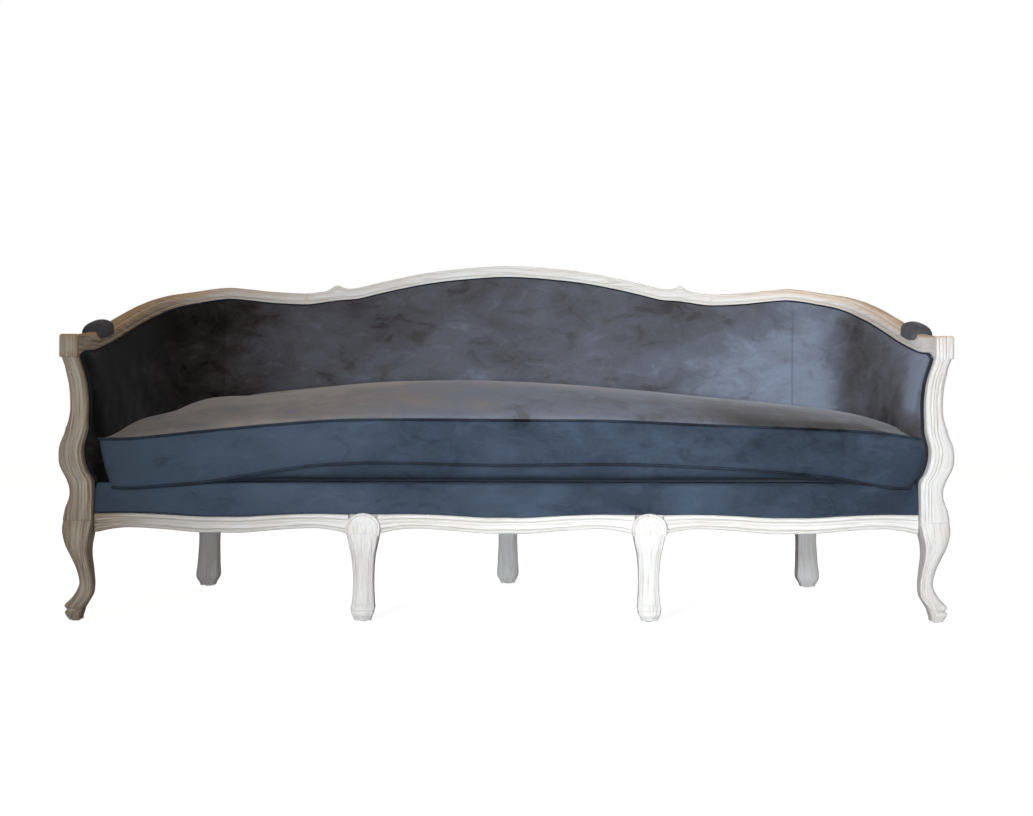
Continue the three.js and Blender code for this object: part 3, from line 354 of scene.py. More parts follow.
# Materials
class Graph:
    """Short ways to add nodes to a node tree. Values are sockets, numbers or colours."""

    def __init__(self, tree):
        self.nodes, self.links = tree.nodes, tree.links

    def put(self, value, socket):
        if isinstance(value, bpy.types.NodeSocket):
            self.links.new(value, socket)
        elif socket.type == "RGBA":
            socket.default_value = (*value, 1)
        else:
            socket.default_value = value

    def node(self, kind, **inputs):
        node = self.nodes.new("ShaderNode" + kind)
        for name, value in inputs.items():
            self.put(value, node.inputs[name])
        return node

    def attribute(self, name, output="Fac"):
        node = self.node("Attribute")
        node.attribute_name = name
        return node.outputs[output]

    def noise(self, place, spots, detail, roughness=0.55, distortion=0.0):
        """Noise with so many spots to a metre, along each axis."""
        spots = spots if isinstance(spots, tuple) else (spots,) * 3
        place = self.node("Mapping", Vector=place, Scale=spots).outputs["Vector"]
        shape = {"Detail": detail, "Roughness": roughness, "Distortion": distortion}
        return self.node("TexNoise", Vector=place, Scale=1, **shape).outputs["Fac"]

    def ramp(self, source, stops):
        """A colour ramp; each stop is (place, grey or linear colour)."""
        node = self.node("ValToRGB", Fac=source)
        elements = node.color_ramp.elements
        while len(elements) < len(stops):
            elements.new(0.5)
        for element, (place, colour) in zip(elements, stops):
            element.position = place
            element.color = (*(colour if isinstance(colour, tuple) else (colour,) * 3), 1)
        return node.outputs["Color"]

    def mix(self, amount, first, second, blend="MIX"):
        node = self.nodes.new("ShaderNodeMix")
        node.data_type = "RGBA"
        node.blend_type = blend
        for index, value in ((0, amount), (6, first), (7, second)):
            self.put(value, node.inputs[index])
        return node.outputs[2]

    def maths(self, operation, first, second, clamp=False):
        node = self.nodes.new("ShaderNodeMath")
        node.operation = operation
        node.use_clamp = clamp
        self.put(first, node.inputs[0])
        self.put(second, node.inputs[1])
        return node.outputs[0]

    def times(self, first, second):
        return self.maths("MULTIPLY", first, second)

    def plus(self, first, second, clamp=False):
        return self.maths("ADD", first, second, clamp)


class Surface(Graph):
    """A material with a Principled shader."""

    def __init__(self, name):
        self.material = bpy.data.materials.new(name)
        self.material.use_nodes = True
        super().__init__(self.material.node_tree)
        self.shader = self.nodes["Principled BSDF"]

    def place(self):
        return self.node("TexCoord").outputs["Object"]

    def finish(self, colour, roughness, height=None, strength=0.0, depth=0.0, **inputs):
        """Sets the shader's inputs, named with _ for a space, and a bump of that height."""
        self.put(colour, self.shader.inputs["Base Color"])
        self.put(roughness, self.shader.inputs["Roughness"])
        for name, value in inputs.items():
            self.put(value, self.shader.inputs[name.replace("_", " ")])
        if height:
            bump = self.node("Bump", Strength=strength, Distance=depth, Height=height)
            self.put(bump.outputs["Normal"], self.shader.inputs["Normal"])
        return self.material


# The oak's colours: ramps over its fibres, then single colours
LIME_WASH = [(0.28, (0.48, 0.44, 0.39)), (0.42, (0.66, 0.645, 0.62)), (0.68, (0.75, 0.75, 0.75))]
# Painted shade: the darker brown oak of the left end
SHADED_OAK = [(0.30, (0.20, 0.14, 0.085)), (0.48, (0.40, 0.32, 0.235)), (0.66, (0.62, 0.56, 0.48))]
STAINS = [(0.35, (0.88, 0.83, 0.77)), (0.6, (1, 1, 1))]
PORE_BROWN = (0.38, 0.31, 0.24)
WORN_BROWN = (0.48, 0.27, 0.10)
HONEY_BROWN = (0.50, 0.29, 0.12)
# Painted shade in the grooves, grey; down the left end the grooves take lime instead
GROOVE_SHADE_GREY = (0.40, 0.37, 0.33)
GROOVE_LIME = (0.84, 0.83, 0.80)


def make_limed_oak():
    """Oak under a white wash that is worn on its edges, with a honey tint on the arm tops, partly rubbed through
    and partly a painted warm reflection, and painted shade in its grooves and down the left end.
    """
    oak = Surface("limed_oak")
    grain, edge, bare = oak.attribute("grain", "Vector"), oak.attribute("edge"), oak.attribute("bare")
    fibres = oak.noise(grain, (7, 210, 210), 5, 0.6)
    pores = oak.noise(grain, (22, 620, 620), 3, 0.6)
    cloudy = oak.noise(grain, (4, 14, 14), 4, 0.6)
    # Painted shade: towards the left end the wash gives way to darker brown oak
    colour = oak.mix(oak.times(bare, 0.9), oak.ramp(fibres, LIME_WASH), oak.ramp(fibres, SHADED_OAK))
    colour = oak.mix(0.55, colour, oak.ramp(cloudy, STAINS), "MULTIPLY")
    dark_pores = oak.ramp(pores, [(0.56, 0.0), (0.7, 1.0)])
    colour = oak.mix(oak.times(dark_pores, 0.36), colour, PORE_BROWN)
    edges = oak.ramp(edge, [(0.22, 0.0), (0.6, 1.0)])
    rubbed = oak.times(oak.times(edges, oak.ramp(cloudy, [(0.4, 0.15), (0.62, 1.0)])), oak.attribute("worn"))
    colour = oak.mix(oak.times(rubbed, 0.65), colour, WORN_BROWN)
    # Honey on the up-facing tops: partly rubbed-through wear, partly a painted warm reflection
    honey = oak.times(oak.attribute("honey"), oak.ramp(cloudy, [(0.3, 0.35), (0.6, 1.0)]))
    colour = oak.mix(oak.times(honey, 0.8), colour, HONEY_BROWN)
    # Painted shade in the grooves and flutes, grey, which down the left end gives way to lime
    groove = oak.ramp(oak.times(edge, -1.0), [(0.06, 0.0), (0.35, 1.0)])
    colour = oak.mix(oak.times(groove, 0.6), colour, oak.mix(bare, GROOVE_SHADE_GREY, GROOVE_LIME))
    roughness = oak.ramp(fibres, [(0.3, 0.72), (0.7, 0.55)])
    relief = oak.plus(fibres, oak.times(pores, 0.5))
    return oak.finish(colour, roughness, relief, 0.35, 0.0006, Specular_IOR_Level=0.32)


def make_velvet(name, stops, sheen, tint, streaks=(3.5, 3.5, 5.5), marks=0.28):
    """Short-pile velvet: brushed marks where the pile lies another way, a soft sheen and a fine pile."""
    velvet = Surface(name)
    place = velvet.place()
    clouds = velvet.noise(place, streaks, 4, 0.6, 0.3)
    strokes = velvet.noise(place, (9, 9, 16), 5, 0.62, 0.9)
    brushed = velvet.ramp(strokes, [(0.36, 0.9), (0.47, 0.5), (0.56, 0.5), (0.66, 0.0)])
    weave = velvet.noise(place, (120, 120, 300), 3, 0.6)
    lie = 0.0
    for pattern, share in ((clouds, 0.95), (brushed, marks), (weave, 0.24)):
        lie = velvet.plus(lie, velvet.times(velvet.maths("SUBTRACT", pattern, 0.5), share))
    # Painted light and shade, set per point on the mesh, move the velvet along its ramp
    lie = velvet.plus(lie, velvet.attribute("nap"), clamp=True)
    pile = velvet.noise(place, 1400, 2)
    return velvet.finish(velvet.ramp(lie, stops), 0.85, pile, 0.25, 0.0004, Specular_IOR_Level=0.15,
                         Sheen_Weight=sheen, Sheen_Roughness=0.35, Sheen_Tint=tint)


def make_plain(name, dark, light, spots, roughness=0.75, metallic=0.0):
    plain = Surface(name)
    texture = plain.noise(plain.place(), spots, 4)
    colour = plain.ramp(texture, [(0.35, dark), (0.65, light)])
    return plain.finish(colour, roughness, texture, 0.4, 0.0004, Metallic=metallic)


limed_oak = make_limed_oak()
plain_beech = make_plain("plain_beech", (0.42, 0.27, 0.14), (0.60, 0.43, 0.26), (4, 60, 60))
jute = make_plain("jute_webbing", (0.26, 0.18, 0.10), (0.50, 0.38, 0.24), 420)
dust_cloth = make_plain("dust_cloth", (0.010, 0.010, 0.011), (0.026, 0.026, 0.028), 700, 0.95)
steel = make_plain("glide_steel", (0.35, 0.35, 0.34), (0.55, 0.55, 0.53), 260, 0.35, 1.0)
# One velvet in copies: each ramp runs from painted shade at 0 to painted light at 1
velvet_front = make_velvet("velvet_front", [
    (0.0, (0.002, 0.002, 0.003)), (0.12, (0.012, 0.015, 0.022)), (0.45, (0.029, 0.042, 0.0635)),
    (0.9, (0.061, 0.086, 0.126)),
], 0.12, (0.50, 0.60, 0.80))
# velvet_back: the same velvet, greyer and paler as a painted sheen, from painted shade at 0 to a painted
# highlight at 1
velvet_back = make_velvet("velvet_back", [
    (0.0, (0.003, 0.003, 0.002)), (0.25, (0.032, 0.028, 0.027)), (0.5, (0.069, 0.069, 0.079)),
    (0.75, (0.101, 0.110, 0.139)), (1.0, (0.162, 0.186, 0.243)),
], 0.22, (0.75, 0.78, 0.90))
# velvet_top: the same velvet, paler and browner, a painted sheen for the cushion's crown
velvet_top = make_velvet("velvet_top", [
    (0.0, (0.050, 0.047, 0.048)), (0.25, (0.082, 0.082, 0.088)), (0.5, (0.118, 0.134, 0.168)),
    (0.74, (0.158, 0.148, 0.146)), (1.0, (0.225, 0.198, 0.178)),
], 0.2, (0.80, 0.80, 0.85), streaks=(4.5, 7, 7), marks=0.36)
# Darker velvet for the cords and the deck: on the cords partly dark trim and partly painted shade in the gaps; on
# the deck under the cushion, painted shade
velvet_trim = make_velvet("velvet_trim", [
    (0.1, (0.006, 0.007, 0.010)), (0.9, (0.022, 0.027, 0.038)),
], 0.15, (0.4, 0.5, 0.7))


# Top rail: crest, shoulders and arms, moulded along the inner side
RAIL_PROFILE = np.array([
    (-0.97, 0.0), (-1.0, 0.05), (-1.0, 0.17), (-0.95, 0.2), (-0.95, 0.24), (-1.0, 0.28), (-1.0, 0.46),
    (-0.96, 0.58), (-0.89, 0.69), (-0.81, 0.75), (-0.75, 0.74), (-0.7, 0.77), (-0.69, 0.82), (-0.65, 0.89),
    (-0.56, 0.955), (-0.4, 0.995), (-0.12, 1.0), (0.2, 1.0), (0.46, 0.97), (0.66, 0.915), (0.8, 0.84),
    (0.9, 0.74), (0.97, 0.62), (1.0, 0.48), (1.0, 0.2), (1.0, 0.04), (0.97, 0.0),
])
BLOCK_PROFILE = np.array([
    (-0.97, 0.0), (-1.0, 0.05), (-1.0, 0.17), (-1.0, 0.2), (-1.0, 0.24), (-1.0, 0.28), (-1.0, 0.46),
    (-1.0, 0.58), (-1.0, 0.69), (-1.0, 0.8), (-1.0, 0.88), (-0.98, 0.93), (-0.94, 0.965), (-0.88, 0.985),
    (-0.76, 1.0), (-0.4, 1.0), (-0.12, 1.0), (0.2, 1.0), (0.46, 1.0), (0.76, 1.0), (0.88, 0.985),
    (0.95, 0.965), (0.98, 0.93), (1.0, 0.86), (1.0, 0.4), (1.0, 0.04), (0.97, 0.0),
])
PAD_FRONT = LINE_FRONT + 0.155
PAD_BACK = PAD_FRONT + 0.100
PAD_SINK = 0.010
RAIL_STEP = 0.04
PEAK_STEP = 0.012
PEAK_SPAN = 0.3
ARM_RAIL_END = LAST - 0.12
HALVINGS = 40
ARM_BLOCK_DEPTH = 0.05
ARM_BLOCK_ROWS = [
    (0, 0.0012), (0.03, 0), (0.3, 0), (0.6, 0), (0.88, 0), (0.95, 0.0008), (0.985, 0.0022), (1, 0.0045),
]


def station_where(line, y):
    """The station on the arm where a line in plan is that far back."""
    low, high = float(ARM_THICKENS[0]), float(LAST)
    for _ in range(HALVINGS):
        middle = (low + high) / 2
        if line.offset(middle, 0, 0)[1] > y:
            low = middle
        else:
            high = middle
    return low


def station_where_x(x):
    places = np.linspace(0, LAST, 2000)
    return float(np.interp(x, top_line.offset(places, 0, 0)[:, 0], places))


PAD_STATIONS = station_where(top_line, PAD_BACK), station_where(top_line, PAD_FRONT)


def rail_section(station):
    """The moulded section, which goes over to the plain block's near the front and is sunk under the pad."""
    place = abs(station)
    low = float(rail_low(station))
    rise = float(rail_top(station)) - low
    plain, front = smoothstep(place, *PLAIN_SECTION), smoothstep(place, *WIDE_SECTION)
    rows = RAIL_PROFILE * (1 - plain) + BLOCK_PROFILE * plain
    heights = low + rows[:, 1] * rise
    if PAD_STATIONS[0] <= place <= PAD_STATIONS[1]:
        heights = np.minimum(heights, float(smooth_top(station)) - PAD_SINK)
    wide = np.where(rows[:, 0] < 0, ARM_BLOCK_INNER, ARM_BLOCK_WIDTH / 2)
    return np.column_stack([rows[:, 0] * between(TOP_RAIL_THICKNESS / 2, wide, front), heights])


# How much of a column's width its rounding and its front face, fluted from both edges or from one, may
# take, and how many times a flute's distance the column has to be wide for the flute to show
MOST_ROUNDING = 0.3
MOST_DOUBLE = 0.46
MOST_SINGLE = 0.62
FLUTE_ROOM = 1.5


def face_distances(width, radius, fixed, both):
    """How far the points across a column's front face are from its inner edge."""
    most = MOST_DOUBLE if both else MOST_SINGLE
    distance = [np.minimum(d, width * most) for d in fixed]
    limit = distance[-1]
    if both:
        middle = [limit + (width - 2 * limit) * share for share in np.linspace(0, 1, 10)[1:-1]]
        return distance + middle + [width - d for d in distance[::-1]]
    return distance + [limit + (width - radius - limit) * share for share in np.linspace(0, 1, 15)[1:]]


def corner_arc(x, y, radius, start, end, points):
    """Points on an arc about x and y, between two angles in quarter turns from the x axis."""
    turns = np.linspace(start, end, points) * np.pi / 2
    return [(x + radius * np.cos(turn), y + radius * np.sin(turn)) for turn in turns]


def column_rings(z, inner, outer, front, back, flutes=(), flute=(0.0035, 0.0014), chamfer=0.006, bulge=0.0,
                 corner=0.008, both=False):
    """Rings up a leg, post or block: a rounded rectangle in plan, with flutes in its front face
    that keep their distance from the inner edge, or from both edges. A flute is (half width, depth)."""
    z, inner, outer, front, back = np.broadcast_arrays(z, inner, outer, front, back)
    width = outer - inner
    radius = np.minimum(corner, np.minimum(width, back - front) * MOST_ROUNDING)
    hollows = [centre + flute[0] * np.linspace(-1, 1, 7) for centre in flutes]
    fixed = np.unique(np.concatenate([np.arange(0, 1.01, 0.25) * chamfer, *hollows]))
    plan = []
    for d in face_distances(width, radius, fixed, both):
        depth = np.minimum(d, width - d) if both else d
        y = front - bulge * np.sin(np.pi * np.clip(d / width, 0, 1)) + np.maximum(chamfer - depth, 0)
        for centre in flutes:
            away = np.minimum(np.abs(depth - centre) / flute[0], 1)
            y = y + flute[1] * np.sqrt(1 - away**2) * (width > centre * FLUTE_ROOM)
        plan.append((inner + d, y))
    if not both:
        plan += corner_arc(outer - radius, front + radius, radius, -1, 0, 6)[1:]
    plan += corner_arc(outer - radius, back - radius, radius, 0, 1, 5)
    plan += corner_arc(inner + radius, back - radius, radius, 1, 2, 5)
    x, y = (np.stack(rows, 1) for rows in zip(*plan))
    return np.stack([x, y, np.broadcast_to(z[:, None], x.shape)], -1)


def column_part(rings):
    """A closed column with its grain running up it."""
    middle = rings.mean(1, keepdims=True)
    grain = np.concatenate([rings[..., 2:], rings[..., :2] - middle[..., :2]], -1)
    return *loft(rings), grain


def arm_block():
    """The fluted block at the front of the arm."""
    low = float(rail_low(LAST))
    share, shrink = np.array(ARM_BLOCK_ROWS).T
    rings = column_rings(
        between(low, ARM_HEIGHT, share), RAIL_LINE_HALF - ARM_BLOCK_INNER + shrink,
        RAIL_LINE_HALF + ARM_BLOCK_WIDTH / 2 - shrink, LINE_FRONT + shrink, LINE_FRONT + ARM_BLOCK_DEPTH - shrink,
        flutes=(0.0095, 0.0175, 0.0255, 0.0335), flute=(0.0036, 0.002), chamfer=0.003, corner=0.006,
    )
    return column_part(rings)


def make_top_rail():
    peak = station_where_x(PEAK_OFFSET)
    fine = np.arange(peak - PEAK_SPAN, peak + PEAK_SPAN, PEAK_STEP)
    crest_end = CREST_JOINT - JOINT_GAP
    crest = places_between(-crest_end, crest_end, RAIL_STEP, np.concatenate([fine, -fine]))
    wood_piece("oak_crest_rail", [sweep(top_line, crest, rail_section)], "crest_rail", seed=3.0)
    shoulder = places_between(CREST_JOINT + JOINT_GAP, ARM_JOINT - JOINT_GAP, RAIL_STEP)
    back, front = PAD_STATIONS
    notch = [back - 0.001, back, front, front + 0.001]
    arm = places_between(ARM_JOINT + JOINT_GAP, ARM_RAIL_END, RAIL_STEP, notch)
    shoulder_part, arm_part = (sweep(top_line, places, rail_section) for places in (shoulder, arm))
    for side, suffix in SIDES:
        wood_piece(f"oak_shoulder_rail_{suffix}", [shoulder_part], f"shoulder_rail_{suffix}", side, 5.0 + side)
        wood_piece(f"oak_arm_rail_{suffix}", [arm_part, arm_block()], f"arm_rail_{suffix}", side, 9.0 + side)


make_top_rail()


# Arm posts: height, inner edge, outer edge and forward swell, as shares
POST_WIDTH = 0.070
POST_SWELL = 0.006
POST_X = OVERALL_WIDTH / 2 - 0.557 * POST_WIDTH
POST_ROWS = [
    (0, -0.575, 0.429, 0.1), (0.045, -0.58, 0.39, 0.1), (0.08, -0.585, 0.344, 0.15), (0.112, -0.593, 0.27, 0.2),
    (0.147, -0.6, 0.2, 0.35), (0.182, -0.6, 0.183, 0.5), (0.217, -0.6, 0.21, 0.7), (0.237, -0.6, 0.25, 0.8),
    (0.256, -0.56, 0.29, 0.9), (0.288, -0.44, 0.383, 1), (0.322, -0.357, 0.484, 1), (0.357, -0.292, 0.544, 1),
    (0.392, -0.256, 0.557, 1), (0.427, -0.242, 0.554, 1), (0.462, -0.26, 0.523, 0.9), (0.497, -0.312, 0.453, 0.8),
    (0.532, -0.362, 0.373, 0.65), (0.567, -0.393, 0.323, 0.5), (0.6, -0.396, 0.253, 0.35),
    (0.666, -0.41, 0.183, 0.2), (0.736, -0.41, 0.183, 0), (0.8, -0.377, 0.206, 0), (0.841, -0.346, 0.238, 0),
    (0.876, -0.3, 0.281, 0), (0.911, -0.242, 0.33, 0), (0.946, -0.172, 0.373, 0), (1, -0.07, 0.484, 0),
]


def table_columns(rows, places):
    rows = np.array(rows, float)
    return [along(rows[:, [0, column]], places) for column in range(1, rows.shape[1])]


POST_LOW, POST_HIGH = LEG_TOP + JOINT_GAP, float(rail_low(LAST)) - JOINT_GAP


def post_inner(z):
    """The x of the right post's inner edge at a height."""
    rows = np.array(POST_ROWS)[:, :2]
    return POST_X + POST_WIDTH * along(rows, (np.asarray(z, float) - POST_LOW) / (POST_HIGH - POST_LOW))


def make_posts():
    places = np.linspace(0, 1, 90)
    inner, outer, swell = table_columns(POST_ROWS, places)
    rings = column_rings(
        between(POST_LOW, POST_HIGH, places), POST_X + inner * POST_WIDTH, POST_X + outer * POST_WIDTH,
        LINE_FRONT - swell * POST_SWELL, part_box("arm_post_right")[1].y - 0.0005,
        flutes=(0.0115, 0.019, 0.0265), flute=(0.0034, 0.002), chamfer=0.006, corner=0.009, bulge=0.0015,
    )
    wood_pair("oak_post", [column_part(rings)], "arm_post", 12.0)


make_posts()


def tube(path, radius, sides=10, closed=False):
    """A round cord through points."""
    path = np.asarray(path, float)
    count = len(path)
    ahead = np.roll(path, -1, 0) if closed else np.vstack([path[1:], 2 * path[-1] - path[-2]])
    behind = np.roll(path, 1, 0) if closed else np.vstack([2 * path[0] - path[1], path[:-1]])
    tangent = ahead - behind
    tangent /= np.linalg.norm(tangent, axis=1, keepdims=True)
    side = np.cross(tangent, [0, 0, 1.0])
    length = np.linalg.norm(side, axis=1, keepdims=True)
    side = np.where(length > 0.05, side / np.maximum(length, TINY), np.cross(tangent, [1.0, 0, 0]))
    for index in range(1, count):
        if (side[index] * side[index - 1]).sum() < 0:
            side[index] *= -1
    side /= np.linalg.norm(side, axis=1, keepdims=True)
    high = np.cross(side, tangent)
    turns = np.linspace(0, 2 * np.pi, sides, endpoint=False)[None, :, None]
    radius = np.broadcast_to(np.asarray(radius, float), (count,))[:, None, None]
    rings = path[:, None] + radius * (np.cos(turns) * side[:, None] + np.sin(turns) * high[:, None])
    faces = loft_faces(count, sides, caps=not closed)
    if closed:
        last = (count - 1) * sides
        faces += [(last + a, last + (a + 1) % sides, (a + 1) % sides, a) for a in range(sides)]
    return rings.reshape(-1, 3), faces


# Legs. The rows give height, inner and outer edge (or half width), front and back, as shares
KNEE_WIDTH = 0.075
KNEE_DEPTH = 0.070
MID_KNEE_WIDTH = 0.086
CORNER_LEG_X = OVERALL_WIDTH / 2 - 0.043
FRONT_LEG_Y = 0.038 - OVERALL_DEPTH / 2
LEG_BLOCK = 0.507
MID_LEG_X = 0.3526
FOOT = 0.0033
MID_BLOCK_HALF = 0.036
LEG_FLUTES = {"flutes": (0.0055, 0.0105), "flute": (0.002, 0.0014), "chamfer": 0.003, "bulge": 0.0025}
RAIL_END = CORNER_LEG_X - LEG_BLOCK * KNEE_WIDTH
RAIL_FRONT = -0.380
RAIL_BOW = 0.020
CORNER_ROWS = [
    (0, -0.147, 0.215, -0.45, 0.06), (0.035, -0.16, 0.27, -0.5, 0.07), (0.07, -0.195, 0.318, -0.54, 0.08),
    (0.088, -0.21, 0.318, -0.54, 0.085), (0.1, -0.22, 0.28, -0.505, 0.09), (0.115, -0.24, 0.285, -0.51, 0.1),
    (0.133, -0.27, 0.338, -0.545, 0.12), (0.158, -0.32, 0.335, -0.52, 0.14), (0.2, -0.4, 0.215, -0.42, 0.19),
    (0.255, -0.48, 0.09, -0.33, 0.25), (0.34, -0.49, -0.033, -0.27, 0.3), (0.4, -0.48, -0.04, -0.28, 0.31),
    (0.52, -0.427, 0.04, -0.37, 0.36), (0.635, -0.373, 0.187, -0.47, 0.41), (0.75, -0.373, 0.347, -0.54, 0.46),
    (0.86, -0.44, 0.445, -0.53, 0.47), (0.93, -0.473, 0.476, -0.48, 0.47), (1, -0.507, 0.455, -0.42, 0.47),
]
SCROLL_SHARE = -0.10
SCROLL_HEIGHT = 0.034
SCROLL_RADIUS = 0.0085
SCROLL_POINTS = 60
MID_ROWS = [
    (0, 0.236, -0.45, 0.06), (0.055, 0.278, -0.53, 0.08), (0.062, 0.294, -0.545, 0.085),
    (0.105, 0.325, -0.535, 0.11), (0.118, 0.318, -0.51, 0.115), (0.13, 0.34, -0.52, 0.125),
    (0.17, 0.338, -0.45, 0.16), (0.182, 0.325, -0.41, 0.17), (0.24, 0.315, -0.33, 0.25),
    (0.34, 0.296, -0.27, 0.3), (0.5, 0.293, -0.3, 0.33), (0.68, 0.315, -0.41, 0.38),
    (0.77, 0.343, -0.48, 0.43), (0.86, 0.39, -0.53, 0.46), (1, 0.46, -0.543, 0.47),
]
BACK_ROWS = [(0, 0.34, 1), (0.12, 0.5, 0.85), (0.3, 0.475, 0.55), (0.66, 0.44, 0.1), (1, 0.5, 0)]
BACK_LEG_WIDTH = 0.064
BACK_LEG_SPLAY = 0.016
BACK_LEG_STATION = 4.5
KNEE_LOW = RAIL_UNDERSIDE - 0.004
KNEE_SPRING = RAIL_UNDERSIDE + 0.016
KNEE_TOP = RAIL_UNDERSIDE + 0.0505
KNEE_LEAN = 0.0088
KNEE_ROWS = [
    (1.0, 0.016), (1.0, 0.0035), (0.985, 0.0012), (0.95, 0), (0.9, 0.0003), (0.87, 0.0016), (0.845, 0.0026),
    (0.81, 0.0018), (0.7, 0.0002), (0.5, -0.0018), (0.3, -0.0028), (0.12, -0.0032),
]


def make_corner_legs():
    places = np.linspace(0, 1, 130)
    inner, outer, front, back = table_columns(CORNER_ROWS, places)
    rings = column_rings(
        between(FOOT, LEG_TOP, places), CORNER_LEG_X + inner * KNEE_WIDTH, CORNER_LEG_X + outer * KNEE_WIDTH,
        FRONT_LEG_Y + front * KNEE_DEPTH, FRONT_LEG_Y + back * KNEE_DEPTH,
        corner=0.004 + 0.009 * smoothstep(places, 0.06, 0.25), **LEG_FLUTES,
    )
    wood_pair("oak_corner_leg", [column_part(rings), toe_scroll()], "front_leg", 17.0)


def toe_scroll():
    """A small carved spiral on the front of the foot."""
    turns = np.linspace(0, 4.2 * np.pi, SCROLL_POINTS)
    reach = SCROLL_RADIUS * (1 - 0.8 * turns / turns[-1])
    x = CORNER_LEG_X + SCROLL_SHARE * KNEE_WIDTH + reach * np.sin(turns)
    z = SCROLL_HEIGHT + reach * np.cos(turns)
    path = np.column_stack([x, np.full_like(x, FRONT_LEG_Y - 0.545 * KNEE_DEPTH + 0.0012), z])
    verts, faces = tube(path, np.linspace(0.0011, 0.0019, SCROLL_POINTS), 8)
    return verts, faces, verts[:, [2, 0, 1]]


def front_line(x):
    """The y of the front rail's line, which bows forward in the middle."""
    return RAIL_FRONT - RAIL_BOW * np.cos(np.pi * x / (2 * RAIL_END))


def make_mid_legs():
    places = np.linspace(0, 1, 130)
    reach, front, back = table_columns(MID_ROWS, places)
    half = reach * MID_KNEE_WIDTH
    rings = column_rings(
        between(FOOT, RAIL_UNDERSIDE, places), MID_LEG_X - half, MID_LEG_X + half,
        FRONT_LEG_Y + front * KNEE_DEPTH, FRONT_LEG_Y + back * KNEE_DEPTH,
        corner=0.012, both=True, **LEG_FLUTES,
    )
    wood_pair("oak_mid_leg", [column_part(rings), knee_block(), knee_dome()], "mid_leg", 23.0)


def knee_block():
    """The block between the rails, behind the domed knee."""
    low, high = MID_LEG_X - MID_BLOCK_HALF, MID_LEG_X + MID_BLOCK_HALF
    z = np.array([RAIL_UNDERSIDE - 0.006, RAIL_TACK_TOP - 0.0005])
    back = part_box("mid_leg_right")[1].y
    return column_part(column_rings(z, low, high, front_line(high) - 0.006, back, corner=0.004))


def knee_dome():
    """A domed cap with a raised bead round its edge. It leans forward at the foot, to meet the leg."""
    half, arc_rise = MID_KNEE_WIDTH / 2, KNEE_TOP - KNEE_SPRING
    waist = (KNEE_LOW + KNEE_SPRING) / 2
    arc = [(-half * math.cos(a), KNEE_SPRING + arc_rise * math.sin(a)) for a in np.linspace(0, math.pi, 29)]
    left, right = ([(side * half * 0.96, KNEE_LOW), (side * half * 0.985, waist)] for side in (-1, 1))
    outline = np.array([*left, *arc, *right[::-1]])
    centre = np.array([0, KNEE_LOW + 0.01])
    rings = []
    for share, depth in KNEE_ROWS:
        x, z = between(centre, outline, share).T
        lean = KNEE_LEAN * (1 - smoothstep(z, KNEE_LOW, KNEE_TOP))
        rings.append(np.column_stack([MID_LEG_X + x, LINE_FRONT + depth - lean, z]))
    rings, faces = loft(rings)
    return rings, faces, rings[..., [2, 0, 1]]


def make_back_legs():
    places = np.linspace(0, 1, 40)
    width, shift = table_columns(BACK_ROWS, places)
    half = width * BACK_LEG_WIDTH
    z = between(FOOT, RAIL_UNDERSIDE - 2 * JOINT_GAP, places)
    middle, corner = seat_line.offset(0, 0, 0), seat_line.offset(BACK_LEG_STATION, 0, 0)
    splay = seat_line.offset(BACK_LEG_STATION, BACK_LEG_SPLAY, 0) - corner
    for name, foot, away, side in (
        ("centre", middle, 0 * splay, 1), ("right", corner, splay, 1), ("left", corner, splay, -1),
    ):
        x, y = foot[0] + away[0] * shift, foot[1] + away[1] * shift
        rings = column_rings(z, x - half, x + half, y - half, y + half, corner=0.014, chamfer=0.004)
        wood_piece(f"oak_back_leg_{name}", [column_part(rings)], f"back_leg_{name}", side, 31.0 + side)


make_corner_legs()
make_mid_legs()
make_back_legs()


# Front rails: moulded, bowed forward in the middle and arched up beside each leg
FRONT_RAIL_BACK = -0.026
FRONT_RAIL_TOP = 0.006
FRONT_PROFILE = np.array([
    (FRONT_RAIL_BACK, 0.0), (0.012, 0.0), (0.0165, 0.03), (0.0185, 0.1), (0.0188, 0.17), (0.0165, 0.2),
    (0.0165, 0.24), (0.0188, 0.28), (0.0185, 0.36), (0.0172, 0.46), (0.017, 0.54), (0.0182, 0.62),
    (0.0165, 0.67), (0.0165, 0.71), (0.0192, 0.75), (0.02, 0.81), (0.0196, 0.88), (0.0175, 0.94),
    (0.0145, 0.98), (0.010, 1.0), (FRONT_RAIL_TOP, 1.0),
])
ARCH_LOW = [(0, 0), (0.06, 0.6), (0.13, 1), (0.26, 0.7), (0.42, 0), (0.5, 0)]
ARCH_TOP = [(0, 0.9), (0.13, 1), (0.26, 0.7), (0.42, 0), (0.5, 0)]
BESIDE_LEG = MID_BLOCK_HALF + FIT_GAP
FRONT_SPANS = {
    "left": (-RAIL_END + FIT_GAP, -MID_LEG_X - BESIDE_LEG),
    "centre": (-MID_LEG_X + BESIDE_LEG, MID_LEG_X - BESIDE_LEG),
    "right": (MID_LEG_X + BESIDE_LEG, RAIL_END - FIT_GAP),
}
FRONT_ARCH = 0.012
LEDGE_HEIGHT = 0.040
LEDGE_ARCH = 0.008


class FrontLine:
    """The front rail's line, by x. Offsets go forward."""

    def offset(self, x, offset, z):
        x, offset, z = np.broadcast_arrays(x, offset, z)
        return np.stack([x, front_line(x) - offset, z], -1).astype(float)


front_path = FrontLine()


def arch(table, x, rise):
    """The rise beside a leg: an arch's share of it, over the span that x is in."""
    for start, end in FRONT_SPANS.values():
        if start - 0.001 <= x <= end + 0.001:
            share = min(max((x - start) / (end - start), 0), 1)
            return rise * float(along(table, min(share, 1 - share)))
    return rise * float(table[0][1])


